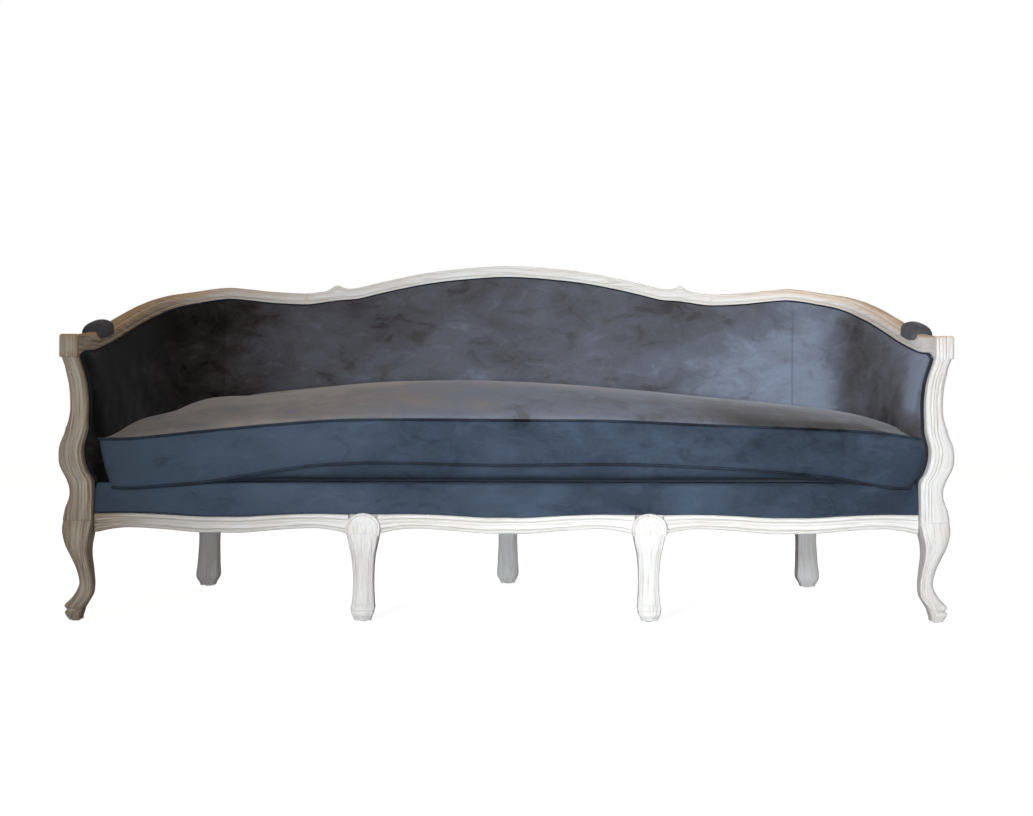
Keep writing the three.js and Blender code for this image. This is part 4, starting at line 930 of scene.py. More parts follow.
def rail_ledge(x):
    """The height where the rail's show wood ends and the velvet border begins."""
    return RAIL_UNDERSIDE + LEDGE_HEIGHT + arch(ARCH_TOP, x, LEDGE_ARCH)


def front_section(x):
    """The moulding up to the ledge, then the plain part behind the border up to the tack line."""
    low = RAIL_UNDERSIDE + arch(ARCH_LOW, x, FRONT_ARCH)
    rows = np.column_stack([FRONT_PROFILE[:, 0], between(low, rail_ledge(x), FRONT_PROFILE[:, 1])])
    return np.vstack([rows, [(FRONT_RAIL_TOP, RAIL_TACK_TOP), (FRONT_RAIL_BACK, RAIL_TACK_TOP)]])


for suffix, span in FRONT_SPANS.items():
    rail = sweep(front_path, np.linspace(*span, 64), front_section)
    wood_piece(f"oak_front_rail_{suffix}", [rail], f"front_rail_{suffix}", seed=41.0)


# Covers
PAD_BACK_PLANE = FRAME_HALF_PLY + FIT_GAP
PAD_EDGE = 0.011
PAD_CROWN = 0.020
ARM_PAD_CROWN = 0.024
ARM_ROLL_CROWN = 0.033
PAD_LOW = RAIL_TACK_TOP + 0.0044
ARM_FILLS = (SEAM, 6.2)
ARM_ROLLS = (8, 10)
SEAM_DRAW = 0.35
SEAM_TUCK = 0.003
PANEL_STEP = 0.05
PANEL_RIPPLE = 0.0016
PANEL_LAP = 0.0045
SEAM_SPREAD = (0.006, 0.012, 0.02, 0.03)
PANEL_END = station_where(top_line, LINE_FRONT + 0.030)
ROLL_START = station_where(top_line, LINE_FRONT + 0.085)
OUTSIDE_PLY = 0.006
OUTSIDE_LOW = RAIL_UNDERSIDE + 0.0403
WELT_THIN, WELT_POST, WELT_THICK = 0.0035, 0.0042, 0.005


def even_nap(x, y, z):
    return np.full(len(x), 0.5)


def velvet_piece(name, skin, material, replaced=None, side=1, body="frame", nap=even_nap):
    """A velvet cover. Its painted light and shade, by place, say how pale its colour is painted."""
    verts = np.asarray(skin[0], float).reshape(-1, 3)
    faces, attributes = facing_out(verts, skin[1]), {"nap": nap(*(verts * (side, 1, 1)).T)}
    piece = make_object(name, verts, faces, material, attributes, VELVET_CREASE, side)
    if body != "frame":
        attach(piece, body)
    if replaced:
        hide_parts(replaced)
    return piece


def back_velvet_pair(name, skin, replaced):
    """The same cover on the right and, mirrored, on the left."""
    for side, suffix in SIDES:
        velvet_piece(f"{name}_{suffix}", skin, velvet_back, f"{replaced}_{suffix}", side)


def arc_of(share, power):
    """A bulge from 0 over 1 back to 0; a smaller power makes it fuller."""
    return np.sin(np.pi * np.clip(share, 0, 1)) ** power


def pad_depth(station, share):
    """The thickness of an inside panel: fuller on the arms, drawn in and tucked at the two seams."""
    place = np.abs(station)
    crown = between(PAD_CROWN, ARM_PAD_CROWN, smoothstep(place, *ARM_FILLS))
    crown = crown + (ARM_ROLL_CROWN - ARM_PAD_CROWN) * smoothstep(place, *ARM_ROLLS)
    away = np.abs(place - SEAM)
    drawn = 1 - smoothstep(away, 0, SEAM_DRAW)
    tuck = SEAM_TUCK * (1 - smoothstep(away, 0, SEAM_SPREAD[-1]))
    return PAD_EDGE - tuck * arc_of(share, 0.4) + crown * (1 - 0.3 * drawn) * arc_of(share, 0.6)


def roll_over(place, points, z):
    """Near the front the face of an arm panel turns over to meet the post's inner side."""
    if place > ROLL_START:
        turn = min((place - ROLL_START) / (PANEL_END - ROLL_START), 1)
        edge = post_inner(z) - PANEL_LAP
        points[:, 0] = between(edge, points[:, 0], math.sqrt(1 - turn**2))
    return points


def ripple(x, z, seed):
    """A small smooth unevenness, the same each time."""
    return (np.sin(3.1 * x + 1.7 * seed) * np.sin(7.3 * z + 0.9 * seed)
            + 0.6 * np.sin(7.7 * x - 2.9 * z + 2.3 * seed) + 0.4 * np.sin(13.0 * x + 9.0 * z + seed)) / 2


def panel_top(place):
    return float(rail_low(place)) - FIT_GAP


def panel(start, end, seed):
    """A padded panel between the seat rail and the top rail."""
    roll = between(ROLL_START, PANEL_END, np.sin(np.linspace(0, np.pi / 2, 14)))
    seams = [side * (SEAM + way * ring) for side in (-1, 1) for way in (-1, 1) for ring in SEAM_SPREAD]
    extra = np.concatenate([roll, seams])
    shares = np.concatenate([[0, 0.01, 0.03, 0.06], np.linspace(0.1, 0.9, 21), [0.94, 0.97, 0.99, 1.0]])
    rows = []
    for place in places_between(start, end, PANEL_STEP, extra[(extra > start) & (extra < end)]):
        z = between(PAD_LOW, panel_top(place), shares)
        depth = pad_depth(place, shares) * np.clip(np.minimum(shares, 1 - shares) / 0.02, 0.55, 1) ** 0.5
        depth = depth + PANEL_RIPPLE * ripple(place, z * 6, seed) * np.sin(np.pi * shares)
        face = roll_over(place, shell(place, -PAD_BACK_PLANE - depth, z), z)
        down = z[::-1]
        behind = shell(place, -PAD_BACK_PLANE, down)
        if place > BLOCK_START:
            behind[:, 0] = np.minimum(behind[:, 0], post_inner(down) - 2 * FIT_GAP)
        rows.append(np.vstack([face, behind]))
    return loft(rows)


def rail_welt(start, end, radius):
    """The line of the cord where a panel meets the top rail."""
    places = places_between(start, end, PANEL_STEP)
    return shell(places, -PAD_BACK_PLANE - PAD_EDGE * 0.62, rail_low(places) - radius * 0.75)


def arm_welt():
    """The cord along the top of an arm's panel, then down beside the post."""
    top = rail_welt(SEAM + JOINT_GAP, PANEL_END - 0.09, WELT_THICK)
    z = np.linspace(float(rail_low(PANEL_END)) - 0.009, DECK_HEIGHT, 60)
    front = np.column_stack([post_inner(z) - WELT_POST, np.full_like(z, LINE_FRONT + 0.0275), z])
    radius = np.concatenate([np.linspace(WELT_THIN, WELT_THICK, len(top)), np.full(len(z), WELT_POST)])
    return tube(np.vstack([top, front]), radius)


# Painted light and shade: 0 is dark, 1 is pale. Along x for the inside panels: painted shade on the left arm,
# painted light towards the right
BACK_PAINTED_LIGHT = [
    (-1.07, 0.05), (-1.0, 0.03), (-0.9, 0.10), (-0.78, 0.30), (-0.66, 0.45), (-0.5, 0.52), (-0.2, 0.55),
    (0.1, 0.58), (0.45, 0.62), (0.62, 0.68), (0.72, 0.80), (0.90, 0.82), (0.96, 0.68), (1.07, 0.64),
]


def back_painted_light(x, y, z):
    """Painted light on the inside panels: painted shade on the left arm and paler towards the right, with a
    painted highlight on the right arm's front roll and painted shade low on the right arm.
    """
    upper = smoothstep(z, 0.62, 0.88)
    # Painted shade on the upper back towards the left; painted light lower down towards the right
    lie = along(BACK_PAINTED_LIGHT, x) - 0.10 * upper * (1 - smoothstep(x, 0.3, 0.7))
    lie = lie + 0.08 * (1 - upper) * smoothstep(x, -0.3, 0.4)
    right = smoothstep(x, 0.90, 0.97)
    behind_roll = smoothstep(y, -0.36, -0.24)
    slope = 0.60 + 0.4 * (y + 0.3)
    # A darker patch on the right arm behind its roll, below a sloping line
    patch = (1 - smoothstep(z - slope, -0.05, 0.05)) * behind_roll * (1 - smoothstep(y, 0.08, 0.28))
    # A painted highlight on the right arm's front roll
    roll = (1 - behind_roll) * smoothstep(y, -0.392, -0.370) * smoothstep(z, 0.48, 0.56)
    # Painted shade low on the right arm, near the cushion
    under = 1 - smoothstep(z, 0.44, 0.53)
    return lie + right * (0.34 * roll - 0.36 * patch - 0.55 * under)


def outside_panel(start, end):
    shares = np.linspace(0, 1, 13)
    depth = OUTSIDE_PLY * (0.45 + 0.55 * arc_of(shares, 0.3))
    offsets = np.concatenate([PAD_BACK_PLANE + depth, [PAD_BACK_PLANE] * 2])
    rows = []
    for place in places_between(start, end, 2 * PANEL_STEP):
        high = panel_top(place)
        z = between(OUTSIDE_LOW, high, shares)
        rows.append(shell(place, offsets, np.concatenate([z, [high, OUTSIDE_LOW]])))
    return loft(rows)


def make_panels():
    left, right = SEAM - JOINT_GAP, SEAM + JOINT_GAP
    back = panel(-left, left, 1.0)
    velvet_piece("velvet_inside_back", back, velvet_back, "inside_back", nap=back_painted_light)
    velvet_piece("welt_back", tube(rail_welt(-left, left, WELT_THIN), WELT_THIN), velvet_trim)
    for side, suffix in SIDES:
        arm = panel(right, PANEL_END, 2.0 + side)
        replaced = f"inside_arm_{suffix}"
        velvet_piece(f"velvet_{replaced}", arm, velvet_back, replaced, side, nap=back_painted_light)
        velvet_piece(f"welt_arm_{suffix}", arm_welt(), velvet_trim, None, side)
    velvet_piece("velvet_outside_back", outside_panel(-left, left), velvet_back, "outside_back")
    back_velvet_pair("velvet_outside_arm", outside_panel(right, FRONT_PANEL), "outside_arm")


make_panels()


# Deck: a flat top and a padded border along the front rail
BORDER_PLY = 0.011
BORDER_BASE = 0.0063
BORDER_FLAT = 0.72
BORDER_ROLL = 0.009
BORDER_WELT = 0.0032
BORDER_RIPPLE = 0.0006
DECK_POINTS = 220
DECK_RINGS = ((1.0, -0.03), (1.0, -0.0012), (0.97, -0.0004), (0.6, -0.0004), (0.3, -0.0004))


# Painted light on the front velvet: paler towards the left, a little darker towards the right
def front_painted_light(x, y, z):
    return 0.52 + 0.42 * (1 - smoothstep(x, -1.0, -0.1)) - 0.14 * smoothstep(x, 0.3, 0.9)


def border_section(x):
    """The border's (offset, height) rows: up its bulging face, over the top roll and down its back."""
    low = rail_ledge(x) + FIT_GAP
    shares = np.linspace(0, 1, 12)
    z = between(low, DECK_HEIGHT - BORDER_ROLL, shares)
    bulge = BORDER_PLY * between(BORDER_FLAT, 1, arc_of(shares, 0.5)) + BORDER_RIPPLE * ripple(x * 2, z * 20, 4.0)
    turns = np.linspace(0, np.pi / 2, 7)[1:]
    roll = np.column_stack([BORDER_BASE + BORDER_PLY * BORDER_FLAT - BORDER_ROLL * (1 - np.cos(turns)),
                            DECK_HEIGHT - BORDER_ROLL * (1 - np.sin(turns))])
    back = BORDER_BASE - 0.02
    return np.vstack([np.column_stack([BORDER_BASE + bulge, z]), roll, (back, DECK_HEIGHT), (back, low)])


def make_deck():
    places = np.linspace(FRONT_SPANS["left"][0], FRONT_SPANS["right"][1], DECK_POINTS)
    border = loft([front_path.offset(x, *border_section(x).T) for x in places])
    velvet_piece("velvet_border", border, velvet_front, nap=front_painted_light)
    edge = [front_path.offset(x, BORDER_BASE + BORDER_PLY * 0.55, rail_ledge(x) + BORDER_WELT) for x in places]
    velvet_piece("welt_border", tube(edge, BORDER_WELT), velvet_front)
    stations = np.linspace(-FRONT_PANEL, FRONT_PANEL, DECK_POINTS)
    rim = shell(stations, -PAD_BACK_PLANE - pad_depth(stations, 0.12) - 0.0017, DECK_HEIGHT)
    front = front_path.offset(places[::-1], BORDER_BASE - 0.019, DECK_HEIGHT)
    front = front[np.abs(front[:, 0]) < np.abs(rim[-1, 0]) - 0.001]
    outline, centre = np.vstack([rim, front]), np.array([0, -0.03, 0])
    rings = []
    for share, drop in DECK_RINGS:
        rings.append(between(centre, outline, (share, share, 0)) + (0, 0, DECK_HEIGHT + drop))
    # The deck under the cushion in the darker velvet: painted shade
    velvet_piece("velvet_deck", loft(rings), velvet_trim, "seat_deck")


make_deck()


# The loose cushion: heights over the deck along its front, by x, and the x of its front corners by side
LOW_SEAM = [
    (-1.01, -0.013), (-0.94, -0.012), (-0.744, 0.003), (-0.562, 0.032), (-0.468, 0.0445), (-0.315, 0.051),
    (-0.016, 0.046), (0.268, 0.049), (0.48, 0.042), (0.692, 0.028), (0.905, 0.004), (0.996, -0.008),
    (1.03, -0.009),
]
TOP_SEAM = [
    (-1.01, 0.108), (-0.93, 0.109), (-0.744, 0.1277), (-0.562, 0.145), (-0.377, 0.1564), (0.033, 0.1564),
    (0.268, 0.1549), (0.48, 0.146), (0.692, 0.1389), (0.905, 0.1282), (1.026, 0.1129),
]
CROWN = [
    (-1.01, 0.13), (-0.949, 0.168), (-0.8815, 0.186), (-0.814, 0.2085), (-0.747, 0.2166), (-0.642, 0.2196),
    (-0.548, 0.230), (-0.413, 0.246), (-0.278, 0.2567), (-0.146, 0.2597), (-0.02, 0.2577), (0.212, 0.2436),
    (0.414, 0.2247), (0.5995, 0.2045), (0.753, 0.191), (0.869, 0.179), (0.947, 0.165), (1.02, 0.14),
]
TOP_CORNER = {1: 1.042, -1: 1.013}
LOW_CORNER = {1: 0.999, -1: 0.974}
CUSHION_SIDE_END = LINE_FRONT + 0.078
CUSHION_EDGE = 0.061
CUSHION_ROOM = 0.003
CORNER_ROUND = 0.008
LOW_SEAM_BEHIND = 0.018
BOX_BULGE = 0.005
BOX_FRONT = 0.017 - BOX_BULGE
WELT_RADIUS = 0.0038
CUSHION_RIPPLE = 0.0012
RIPPLED_TOP = (0.40, 0.47)
OUTLINE_POINTS = 640


def cushion_outline():
    """The top seam in plan: round the back by station, out to the front corners, then along the front."""
    end = station_where(seat_line, CUSHION_SIDE_END)
    places = np.linspace(-end, end, 241)
    z = DECK_HEIGHT + CUSHION_EDGE
    inset = np.array([cushion_inset(abs(place), z) for place in places])
    sides = shell(places, -inset, z)[:, :2]
    right, left = cushion_corner(1, sides[-1]), cushion_corner(-1, sides[0])
    xs = np.linspace(TOP_CORNER[1] - 0.012, 0.012 - TOP_CORNER[-1], 201)
    front = front_path.offset(xs, BOX_FRONT, 0)[:, :2]
    outline = resample(np.vstack([sides, right, front, left[::-1]]), OUTLINE_POINTS)
    return smooth_loop(outline, 2)


def cushion_corner(side, start):
    """From the end of the arm's side, out and round to the front."""
    corner = side * TOP_CORNER[side]
    front_y = front_path.offset(corner, BOX_FRONT, 0)[1]
    rows = []
    for share in np.linspace(0.1, 1, 9):
        x = between(start[0], corner, float(smoothstep(share, 0, 0.8)))
        rows.append((x, between(start[1], front_y + CORNER_ROUND, share)))
    for turn in np.linspace(0, np.pi / 2, 5)[1:]:
        x = corner - side * CORNER_ROUND * (1 - math.cos(turn))
        rows.append((x, front_y + CORNER_ROUND * (1 - math.sin(turn))))
    return np.array(rows)


def cushion_inset(station, z):
    """How far the boxing keeps inside the seat line, to clear the panels and the arm rail."""
    base = shell(station, 0, z)
    outward = shell(station, 0.001, z) - base
    outward /= np.linalg.norm(outward)
    shares = np.array([0, 0.12, 0.3, 0.5, 0.7, 0.88, 1])
    heights = between(PAD_LOW, panel_top(station), shares)
    pads = shell(station, -PAD_BACK_PLANE - pad_depth(station, shares), heights)
    reach = float(np.max(-(pads - base) @ outward))
    if station > 7.7:
        reach = max(reach, float(-(top_line.offset(station, -0.030, z) - base) @ outward))
    return reach + CUSHION_ROOM + BOX_BULGE


def resample(loop, count):
    closed = np.vstack([loop, loop[:1]])
    run = running_length(closed)
    at = np.linspace(0, run[-1], count, endpoint=False)
    return np.column_stack([np.interp(at, run, closed[:, axis]) for axis in range(2)])


def smooth_loop(loop, times):
    for _ in range(times):
        loop = (np.roll(loop, 1, 0) + 2 * loop + np.roll(loop, -1, 0)) / 4
    return loop


def seam_heights(x, y):
    """The low and top seams over a plan point. The low seam only droops in front of the deck."""
    low = along(LOW_SEAM, x)
    behind = smoothstep(y, CUSHION_SIDE_END - 0.045, CUSHION_SIDE_END - 0.01)
    low = np.maximum(low, between(low, LOW_SEAM_BEHIND, behind))
    return DECK_HEIGHT + low, DECK_HEIGHT + along(TOP_SEAM, x)


def corner_draw(outline):
    """How far each point of the top seam lies outside the low seam below it, towards the front corners."""
    x, y = outline.T
    gap = np.where(x > 0, TOP_CORNER[1] - LOW_CORNER[1], TOP_CORNER[-1] - LOW_CORNER[-1])
    return np.sign(x) * gap * (1 - smoothstep(y, -0.385, CUSHION_SIDE_END)) * smoothstep(np.abs(x), 0.8, 1.0)


# The rings of the low and the top seam, and how far the cloth may swell between and over them
LOW_RING, TOP_RING = 7, 17
SIDE_CAP = 0.0035
CROWN_CAP = 0.009
CLOTH = {
    "quality": 5, "mass": 0.25, "bending_stiffness": 0.3, "use_pressure": True, "uniform_pressure_force": 4,
    "shrink_min": -0.03,
}
CLOTH_FRAMES = 20
EASE_ROUNDS = 16


def simulated(cushion, kind, members, settings, frames=0):
    """The vertices once a modifier of that kind has worked on the members. The modifier is then removed."""
    group = cushion.vertex_groups.new(name="members")
    group.add(members, 1.0, "REPLACE")
    modifier = cushion.modifiers.new("filling", kind)
    settings(modifier, group.name)
    scene = bpy.context.scene
    for step in range(1, frames + 1):
        scene.frame_set(step)
    posed = cushion.evaluated_get(bpy.context.evaluated_depsgraph_get())
    moved = read_vectors(posed.data.vertices)
    cushion.modifiers.remove(modifier)
    cushion.vertex_groups.remove(group)
    scene.frame_set(1)
    return moved


def move_points(mesh, points):
    mesh.vertices.foreach_set("co", points.ravel())
    mesh.update()


def swell(cushion, columns):
    """Cloth simulation of the filled cover: slack fabric between its sewn seams swells under pressure.
    The underside and the seams are pinned, and no point moves further than its cap."""
    rest = read_vectors(cushion.data.vertices)
    pinned = [*range((LOW_RING + 1) * columns), *range(TOP_RING * columns, (TOP_RING + 1) * columns)]

    def set_cloth(cloth, group):
        for name, value in CLOTH.items():
            setattr(cloth.settings, name, value)
        cloth.settings.vertex_group_mass = group
        cloth.settings.effector_weights.gravity = 0

    step = simulated(cushion, "CLOTH", pinned, set_cloth, CLOTH_FRAMES) - rest
    length = np.linalg.norm(step, axis=1, keepdims=True) + TINY
    ends = 1 - 0.85 * smoothstep(np.abs(rest[:, 0]), 0.88, 0.96) * (1 - smoothstep(rest[:, 1], -0.33, -0.25))
    cap = (np.where(np.arange(len(rest)) < TOP_RING * columns, SIDE_CAP, CROWN_CAP) * ends)[:, None]
    move_points(cushion.data, rest + step / length * cap * np.tanh(length / cap))


def ease(cushion, first):
    """Smooth the crown, from that vertex on, where the simulation leaves it creased."""

    def set_smooth(smooth, group):
        smooth.factor = 0.5
        smooth.iterations = EASE_ROUNDS
        smooth.vertex_group = group

    crown = list(range(first, len(cushion.data.vertices)))
    move_points(cushion.data, simulated(cushion, "SMOOTH", crown, set_smooth))


def outward_of(outline):
    chord = np.roll(outline, -1, 0) - np.roll(outline, 1, 0)
    outward = np.column_stack([chord[:, 1], -chord[:, 0]])
    outward /= np.linalg.norm(outward, axis=1, keepdims=True)
    return outward if ((outline - outline.mean(0)) * outward).sum() > 0 else -outward


class CushionShape:
    """Rings round the cushion, all following its top seam in plan. hangs is 1 where the low seam hangs
    below the floor, which the flat underside rests on, and the cover there sags outward by hang_out."""

    floor = DECK_HEIGHT + 2 * FIT_GAP
    hang_out = 0.009
    hem_rings = ((0.04, 0.0), (0.026, 0.12), (0.015, 0.34), (0.008, 0.62), (0.003, 0.86))
    crown_rings = np.concatenate([np.linspace(0.02, 0.2, 7), np.linspace(0.26, 0.94, 12)])

    def __init__(self):
        self.outline = cushion_outline()
        self.outward = outward_of(self.outline)
        self.draw = corner_draw(self.outline)
        self.low, self.top = seam_heights(*self.outline.T)
        self.middle_y = (self.outline[:, 1].max() + self.outline[:, 1].min()) / 2
        self.hangs = smoothstep(-self.low, -self.floor - 0.012, -self.floor)

    def ring(self, grow, height, share=1.0):
        """A ring grown outward, at a share of the way from the low seam (0) to the top seam (1)."""
        sag = self.hang_out * self.hangs * (1 - share)
        plan = self.outline + self.outward * (grow + sag)[:, None]
        plan[:, 0] -= self.draw * (1 - share) ** np.where(self.draw > 0, 2.2, 1.2)
        front = front_path.offset(plan[:, 0], BOX_FRONT, 0)[:, 1]
        plan[:, 1] = np.maximum(plan[:, 1], front - grow - sag)
        return np.column_stack([plan, np.broadcast_to(height, len(plan))])

    def inward(self, plan, share):
        """A ring drawn in towards the cushion's long middle line."""
        return np.column_stack([plan[:, 0] * (1 - 0.1 * share), between(plan[:, 1], self.middle_y, share)])

    def underside(self, share):
        flat = self.ring(-0.04, self.floor, 0.0)
        return np.column_stack([self.inward(flat, share), flat[:, 2]])

    def hem(self, inset, share):
        """A ring between the flat underside and the low seam, which droops in front of the deck."""
        lifted = self.floor + 0.008 * smoothstep(self.low, self.floor + 0.006, self.floor + 0.03)
        share = np.where(self.low > lifted, share, share**4)
        return self.ring(-inset * (1 - 0.5 * self.hangs), between(lifted, self.low, share), 0.0)

    def boxing(self, share):
        bulge = 0.5 * BOX_BULGE * math.sin(math.pi * share) ** 0.8 if share < 1 else 0
        return self.ring(bulge, between(self.low, self.top, share), share)

    def crown(self, share):
        plan = self.inward(self.outline, share)
        crown = DECK_HEIGHT + along(CROWN, plan[:, 0])
        return np.column_stack([plan, between(self.top, crown, math.sin(math.pi / 2 * share) ** 0.8)])

    def rings(self):
        rings = [self.underside(share) for share in (0.6, 0.2)]
        rings += [self.hem(*row) for row in self.hem_rings]
        rings += [self.boxing(share) for share in np.linspace(0, 1, TOP_RING - LOW_RING + 1)]
        rings += [self.crown(share) for share in self.crown_rings]
        x, y, z = np.moveaxis(np.array(rings), -1, 0)
        uneven = CUSHION_RIPPLE * ripple(x * 3, y * 5, 6.0) * smoothstep(z, *RIPPLED_TOP)
        return np.stack([x, y, z + uneven], -1)


def make_cushion():
    shape = CushionShape()
    rings = shape.rings()
    rows, columns = rings.shape[:2]
    skin = close_ends(rings, loft_faces(rows, columns, caps=False))
    cushion = velvet_piece("velvet_cushion", skin, velvet_front, "seat_cushion", body="cushion",
                           nap=cushion_painted_light)
    swell(cushion, columns)
    ease(cushion, (TOP_RING + 2) * columns)
    # The crown takes velvet_top, the painted-sheen copy
    cushion.data.materials.append(velvet_top)
    for polygon in cushion.data.polygons:
        polygon.material_index = int(min(polygon.vertices) >= TOP_RING * columns)
    for name, height, share in (("low", shape.low, 0.0), ("top", shape.top, 1.0)):
        cord = tube(shape.ring(0.0012, height, share), WELT_RADIUS, closed=True)
        velvet_piece(f"welt_cushion_{name}", cord, velvet_front, body="cushion", nap=welt_painted_light)


def cushion_painted_light(x, y, z):
    """Painted light on the cushion: a painted sheen makes the top browner on the left and at the back; the sides
    are paler on the left; a painted shade darkens it below the low seam.
    """
    # Painted sheen on the top: browner on the left and at the back
    top = 0.84 - 0.38 * smoothstep(x, -0.65, 0.05) - 0.36 * smoothstep(x, 0.25, 0.75)
    top = top + 0.26 * smoothstep(y, -0.34, -0.08)
    height = z - DECK_HEIGHT
    over = smoothstep(height - along(TOP_SEAM, x), -0.001, 0.002)
    # Painted shade on the cover low down, under the low seam where it stands clear of the deck
    under = (1 - smoothstep(height, 0.009, 0.014)) * smoothstep(along(LOW_SEAM, x), 0.015, 0.03)
    return top * over + (front_painted_light(x, y, z) - 0.9 * under) * (1 - over)


# The cushion's cords: darker than the boxing, with the front's painted light
def welt_painted_light(x, y, z):
    return 0.45 * front_painted_light(x, y, z) - 0.02


def close_ends(rings, faces):
    """The first and last rings are joined across, point for point, from side to side."""
    rows, columns = rings.shape[:2]
    verts = rings.reshape(-1, 3)
    for start, turned in ((0, False), ((rows - 1) * columns, True)):
        first = int(np.argmin(verts[start:start + columns, 0]))
        order = [(first + step) % columns + start for step in range(columns)]
        for step in range(columns // 2):
            quad = (order[step], order[(step + 1) % columns], order[-step - 1], order[-step])
            quad = tuple(dict.fromkeys(quad))
            if len(quad) > 2:
                faces.append(quad if turned else quad[::-1])
    return verts, faces


make_cushion()


# Arm pads
PAD_INNER = 0.030
PAD_OUTER = 0.032
PAD_RISE = 0.032
PAD_HANG = 0.009
PAD_NECK = 0.0235


def arm_pad_section(place, share):
    """A domed pad whose edges hang over the rail. The share runs from -1 at its back to 1 at its front."""
    full = 0.12 + 0.88 * (1 - abs(share) ** 3.2) ** (1 / 2.6)
    wide, hang = 0.55 + 0.45 * full, PAD_HANG * full
    bed = float(smooth_top(place)) - PAD_SINK + FIT_GAP
    turns = np.linspace(0, np.pi, 25)
    across = -np.cos(turns)
    reach = np.where(across < 0, PAD_INNER, PAD_OUTER) * across * wide
    gather = 0.0016 * smoothstep(share, 0.45, 0.85) * np.cos(13 * turns)
    height = bed + (PAD_RISE * full + gather) * np.sin(turns) ** 0.62 - hang * (np.abs(across) > 0.98)
    under = [(PAD_OUTER * 0.8 * wide, bed - hang), (PAD_NECK, bed - hang * 0.6), (PAD_NECK, bed),
             (-PAD_NECK, bed), (-PAD_NECK, bed - hang * 0.6), (-PAD_INNER * 0.8 * wide, bed - hang)]
    return np.vstack([np.column_stack([reach, height]), under])


def make_arm_pads():
    back, front = PAD_STATIONS
    rings = []
    for share in np.linspace(-1, 1, 27):
        place = (back + front) / 2 + share * (front - back) / 2
        rings.append(top_line.offset(place, *arm_pad_section(place, share).T))
    back_velvet_pair("velvet_arm_pad", loft(rings), "arm_pad")


make_arm_pads()


# What stays as the frame gives it: the hidden frame, webbing, cloths and glides
FINISHES = (
    (plain_beech, ("corner_block", "back_stile", "back_strut", "stay_rail", "seat_stretcher")),
    (limed_oak, ("side_rail", "back_rail")),
    (jute, ("seat_webbing", "seat_burlap")),
    (dust_cloth, ("dust_cover",)),
    (steel, ("glide",)),
)
GRAIN_AXES = {"back_rail": (0, 1, 2), "side_rail_left": (1, 0, 2), "side_rail_right": (1, 0, 2)}


def finish_frame_nodes():
    for name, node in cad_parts.items():
        for material, words in FINISHES:
            if any(word in name for word in words):
                node.data.materials.clear()
                node.data.materials.append(material)
    for name, axes in GRAIN_AXES.items():
        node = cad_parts[name]
        co = read_vectors(node.data.vertices) @ np.array(node.matrix_world)[:3, :3].T
        write_attribute(node.data, "grain", co[:, axes])


finish_frame_nodes()


# Stage, light and camera
FLOOR_GREY = (0.55, 0.55, 0.55)
FLOOR_GLOW = 0.9
WORLD_TINT = (1.0, 0.84, 0.69)
WORLD_STRENGTH = 0.22
WHITE = (1.0, 1.0, 1.0)
LAMPS = {
    "key": {"place": (-1.3, -3.6, 1.5), "target": (0.75, 0, 0.72), "size": (0.9, 1.2), "power": 17.8,
            "colour": (0.91, 0.955, 1.0), "spread": 57},
    "low": {"place": (0.6, -8.0, 0.32), "target": (0.45, 0, 0.22), "size": (1.4, 0.5), "power": 7.6,
            "colour": (0.86, 0.94, 1.0), "spread": 25},
    "behind": {"place": (0, 4.6, 1.6), "target": (0, 0.4, 0.5), "size": (3.2, 1.6), "power": 34,
               "colour": (1.0, 0.98, 0.95)},
    "top": {"place": (0.5, 0.6, 3.0), "target": (0.4, 0, 0.5), "size": (2.4, 1.4), "power": 12,
            "colour": (1.0, 0.95, 0.88)},
}
CAMERA_LENS = 47.5
CAMERA_PLACE = (0.0246, -3.77, 0.526)
CAMERA_TURN = (90, -0.15, 0)


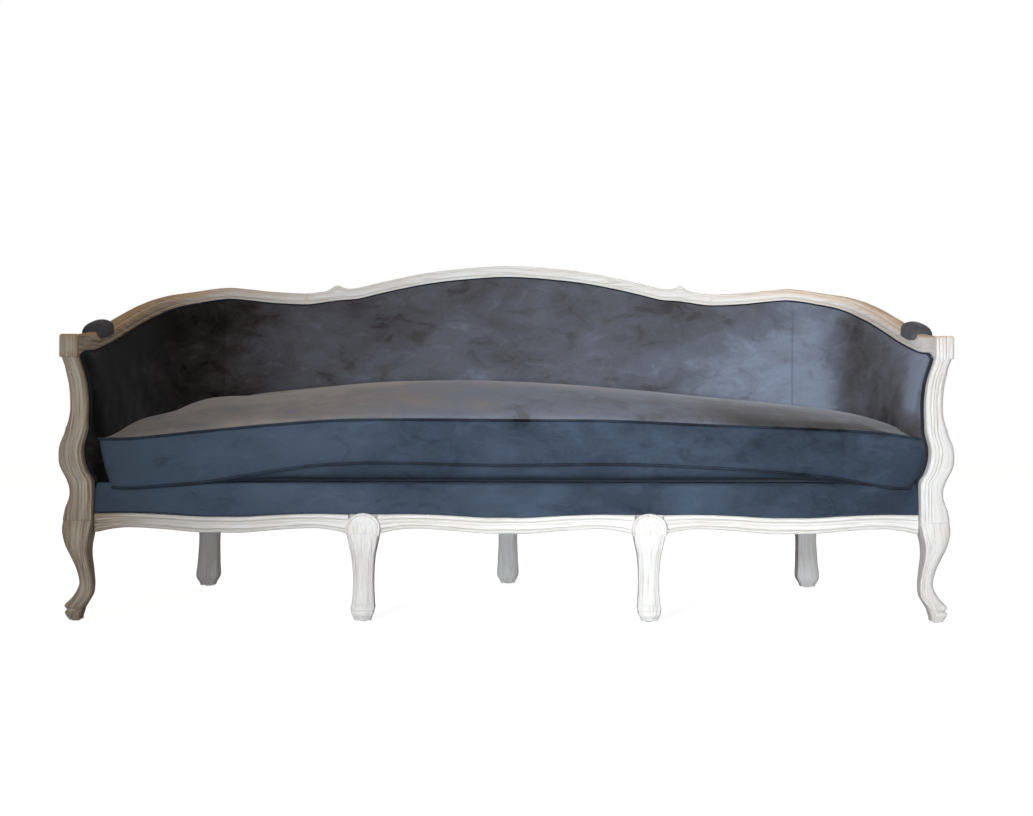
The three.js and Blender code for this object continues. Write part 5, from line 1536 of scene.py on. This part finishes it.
def floor_material():
    """Matt pale floor. The camera sees it lifted to white, with the sofa's shadow left in it."""
    floor = Surface("floor_white")
    floor.finish(FLOOR_GREY, 0.9)
    seen = floor.times(floor.node("LightPath").outputs["Is Camera Ray"], FLOOR_GLOW)
    glow = floor.node("Emission", Strength=seen)
    add = floor.node("AddShader")
    floor.put(floor.shader.outputs[0], add.inputs[0])
    floor.put(glow.outputs[0], add.inputs[1])
    floor.put(add.outputs[0], floor.nodes["Material Output"].inputs["Surface"])
    return floor.material


def make_stage():
    mesh = bpy.data.meshes.new("floor")
    mesh.from_pydata([(-9, -6, 0), (9, -6, 0), (9, 9, 0), (-9, 9, 0)], [], [(0, 1, 2, 3)])
    mesh.materials.append(floor_material())
    add_to_scene("floor", mesh)


def make_world():
    """A weak warm light all round, which the camera sees as white."""
    world = bpy.data.worlds.new("studio")
    bpy.context.scene.world = world
    world.use_nodes = True
    graph = Graph(world.node_tree)
    camera_ray = graph.node("LightPath").outputs["Is Camera Ray"]
    background = graph.nodes["Background"]
    graph.put(graph.mix(camera_ray, WORLD_TINT, WHITE), background.inputs["Color"])
    graph.put(graph.maths("MAXIMUM", camera_ray, WORLD_STRENGTH), background.inputs["Strength"])


def area_light(name, place, target, size, power, colour, spread=180):
    light = bpy.data.lights.new(name, "AREA")
    light.shape = "RECTANGLE"
    light.size, light.size_y = size
    light.energy = power
    light.color = colour
    light.spread = math.radians(spread)
    lamp = add_to_scene(name, light)
    lamp.location = place
    lamp.rotation_euler = (Vector(target) - Vector(place)).to_track_quat("-Z", "Y").to_euler()


def make_camera():
    camera = bpy.data.cameras.new("camera")
    camera.lens = CAMERA_LENS
    camera.sensor_width = 36
    camera.sensor_fit = "HORIZONTAL"
    view = add_to_scene("camera", camera)
    view.location = CAMERA_PLACE
    view.rotation_euler = [math.radians(angle) for angle in CAMERA_TURN]
    bpy.context.scene.camera = view


make_stage()
make_world()
for lamp_name, lamp_settings in LAMPS.items():
    area_light(lamp_name, **lamp_settings)
make_camera()
bpy.context.scene.view_settings.view_transform = "Standard"
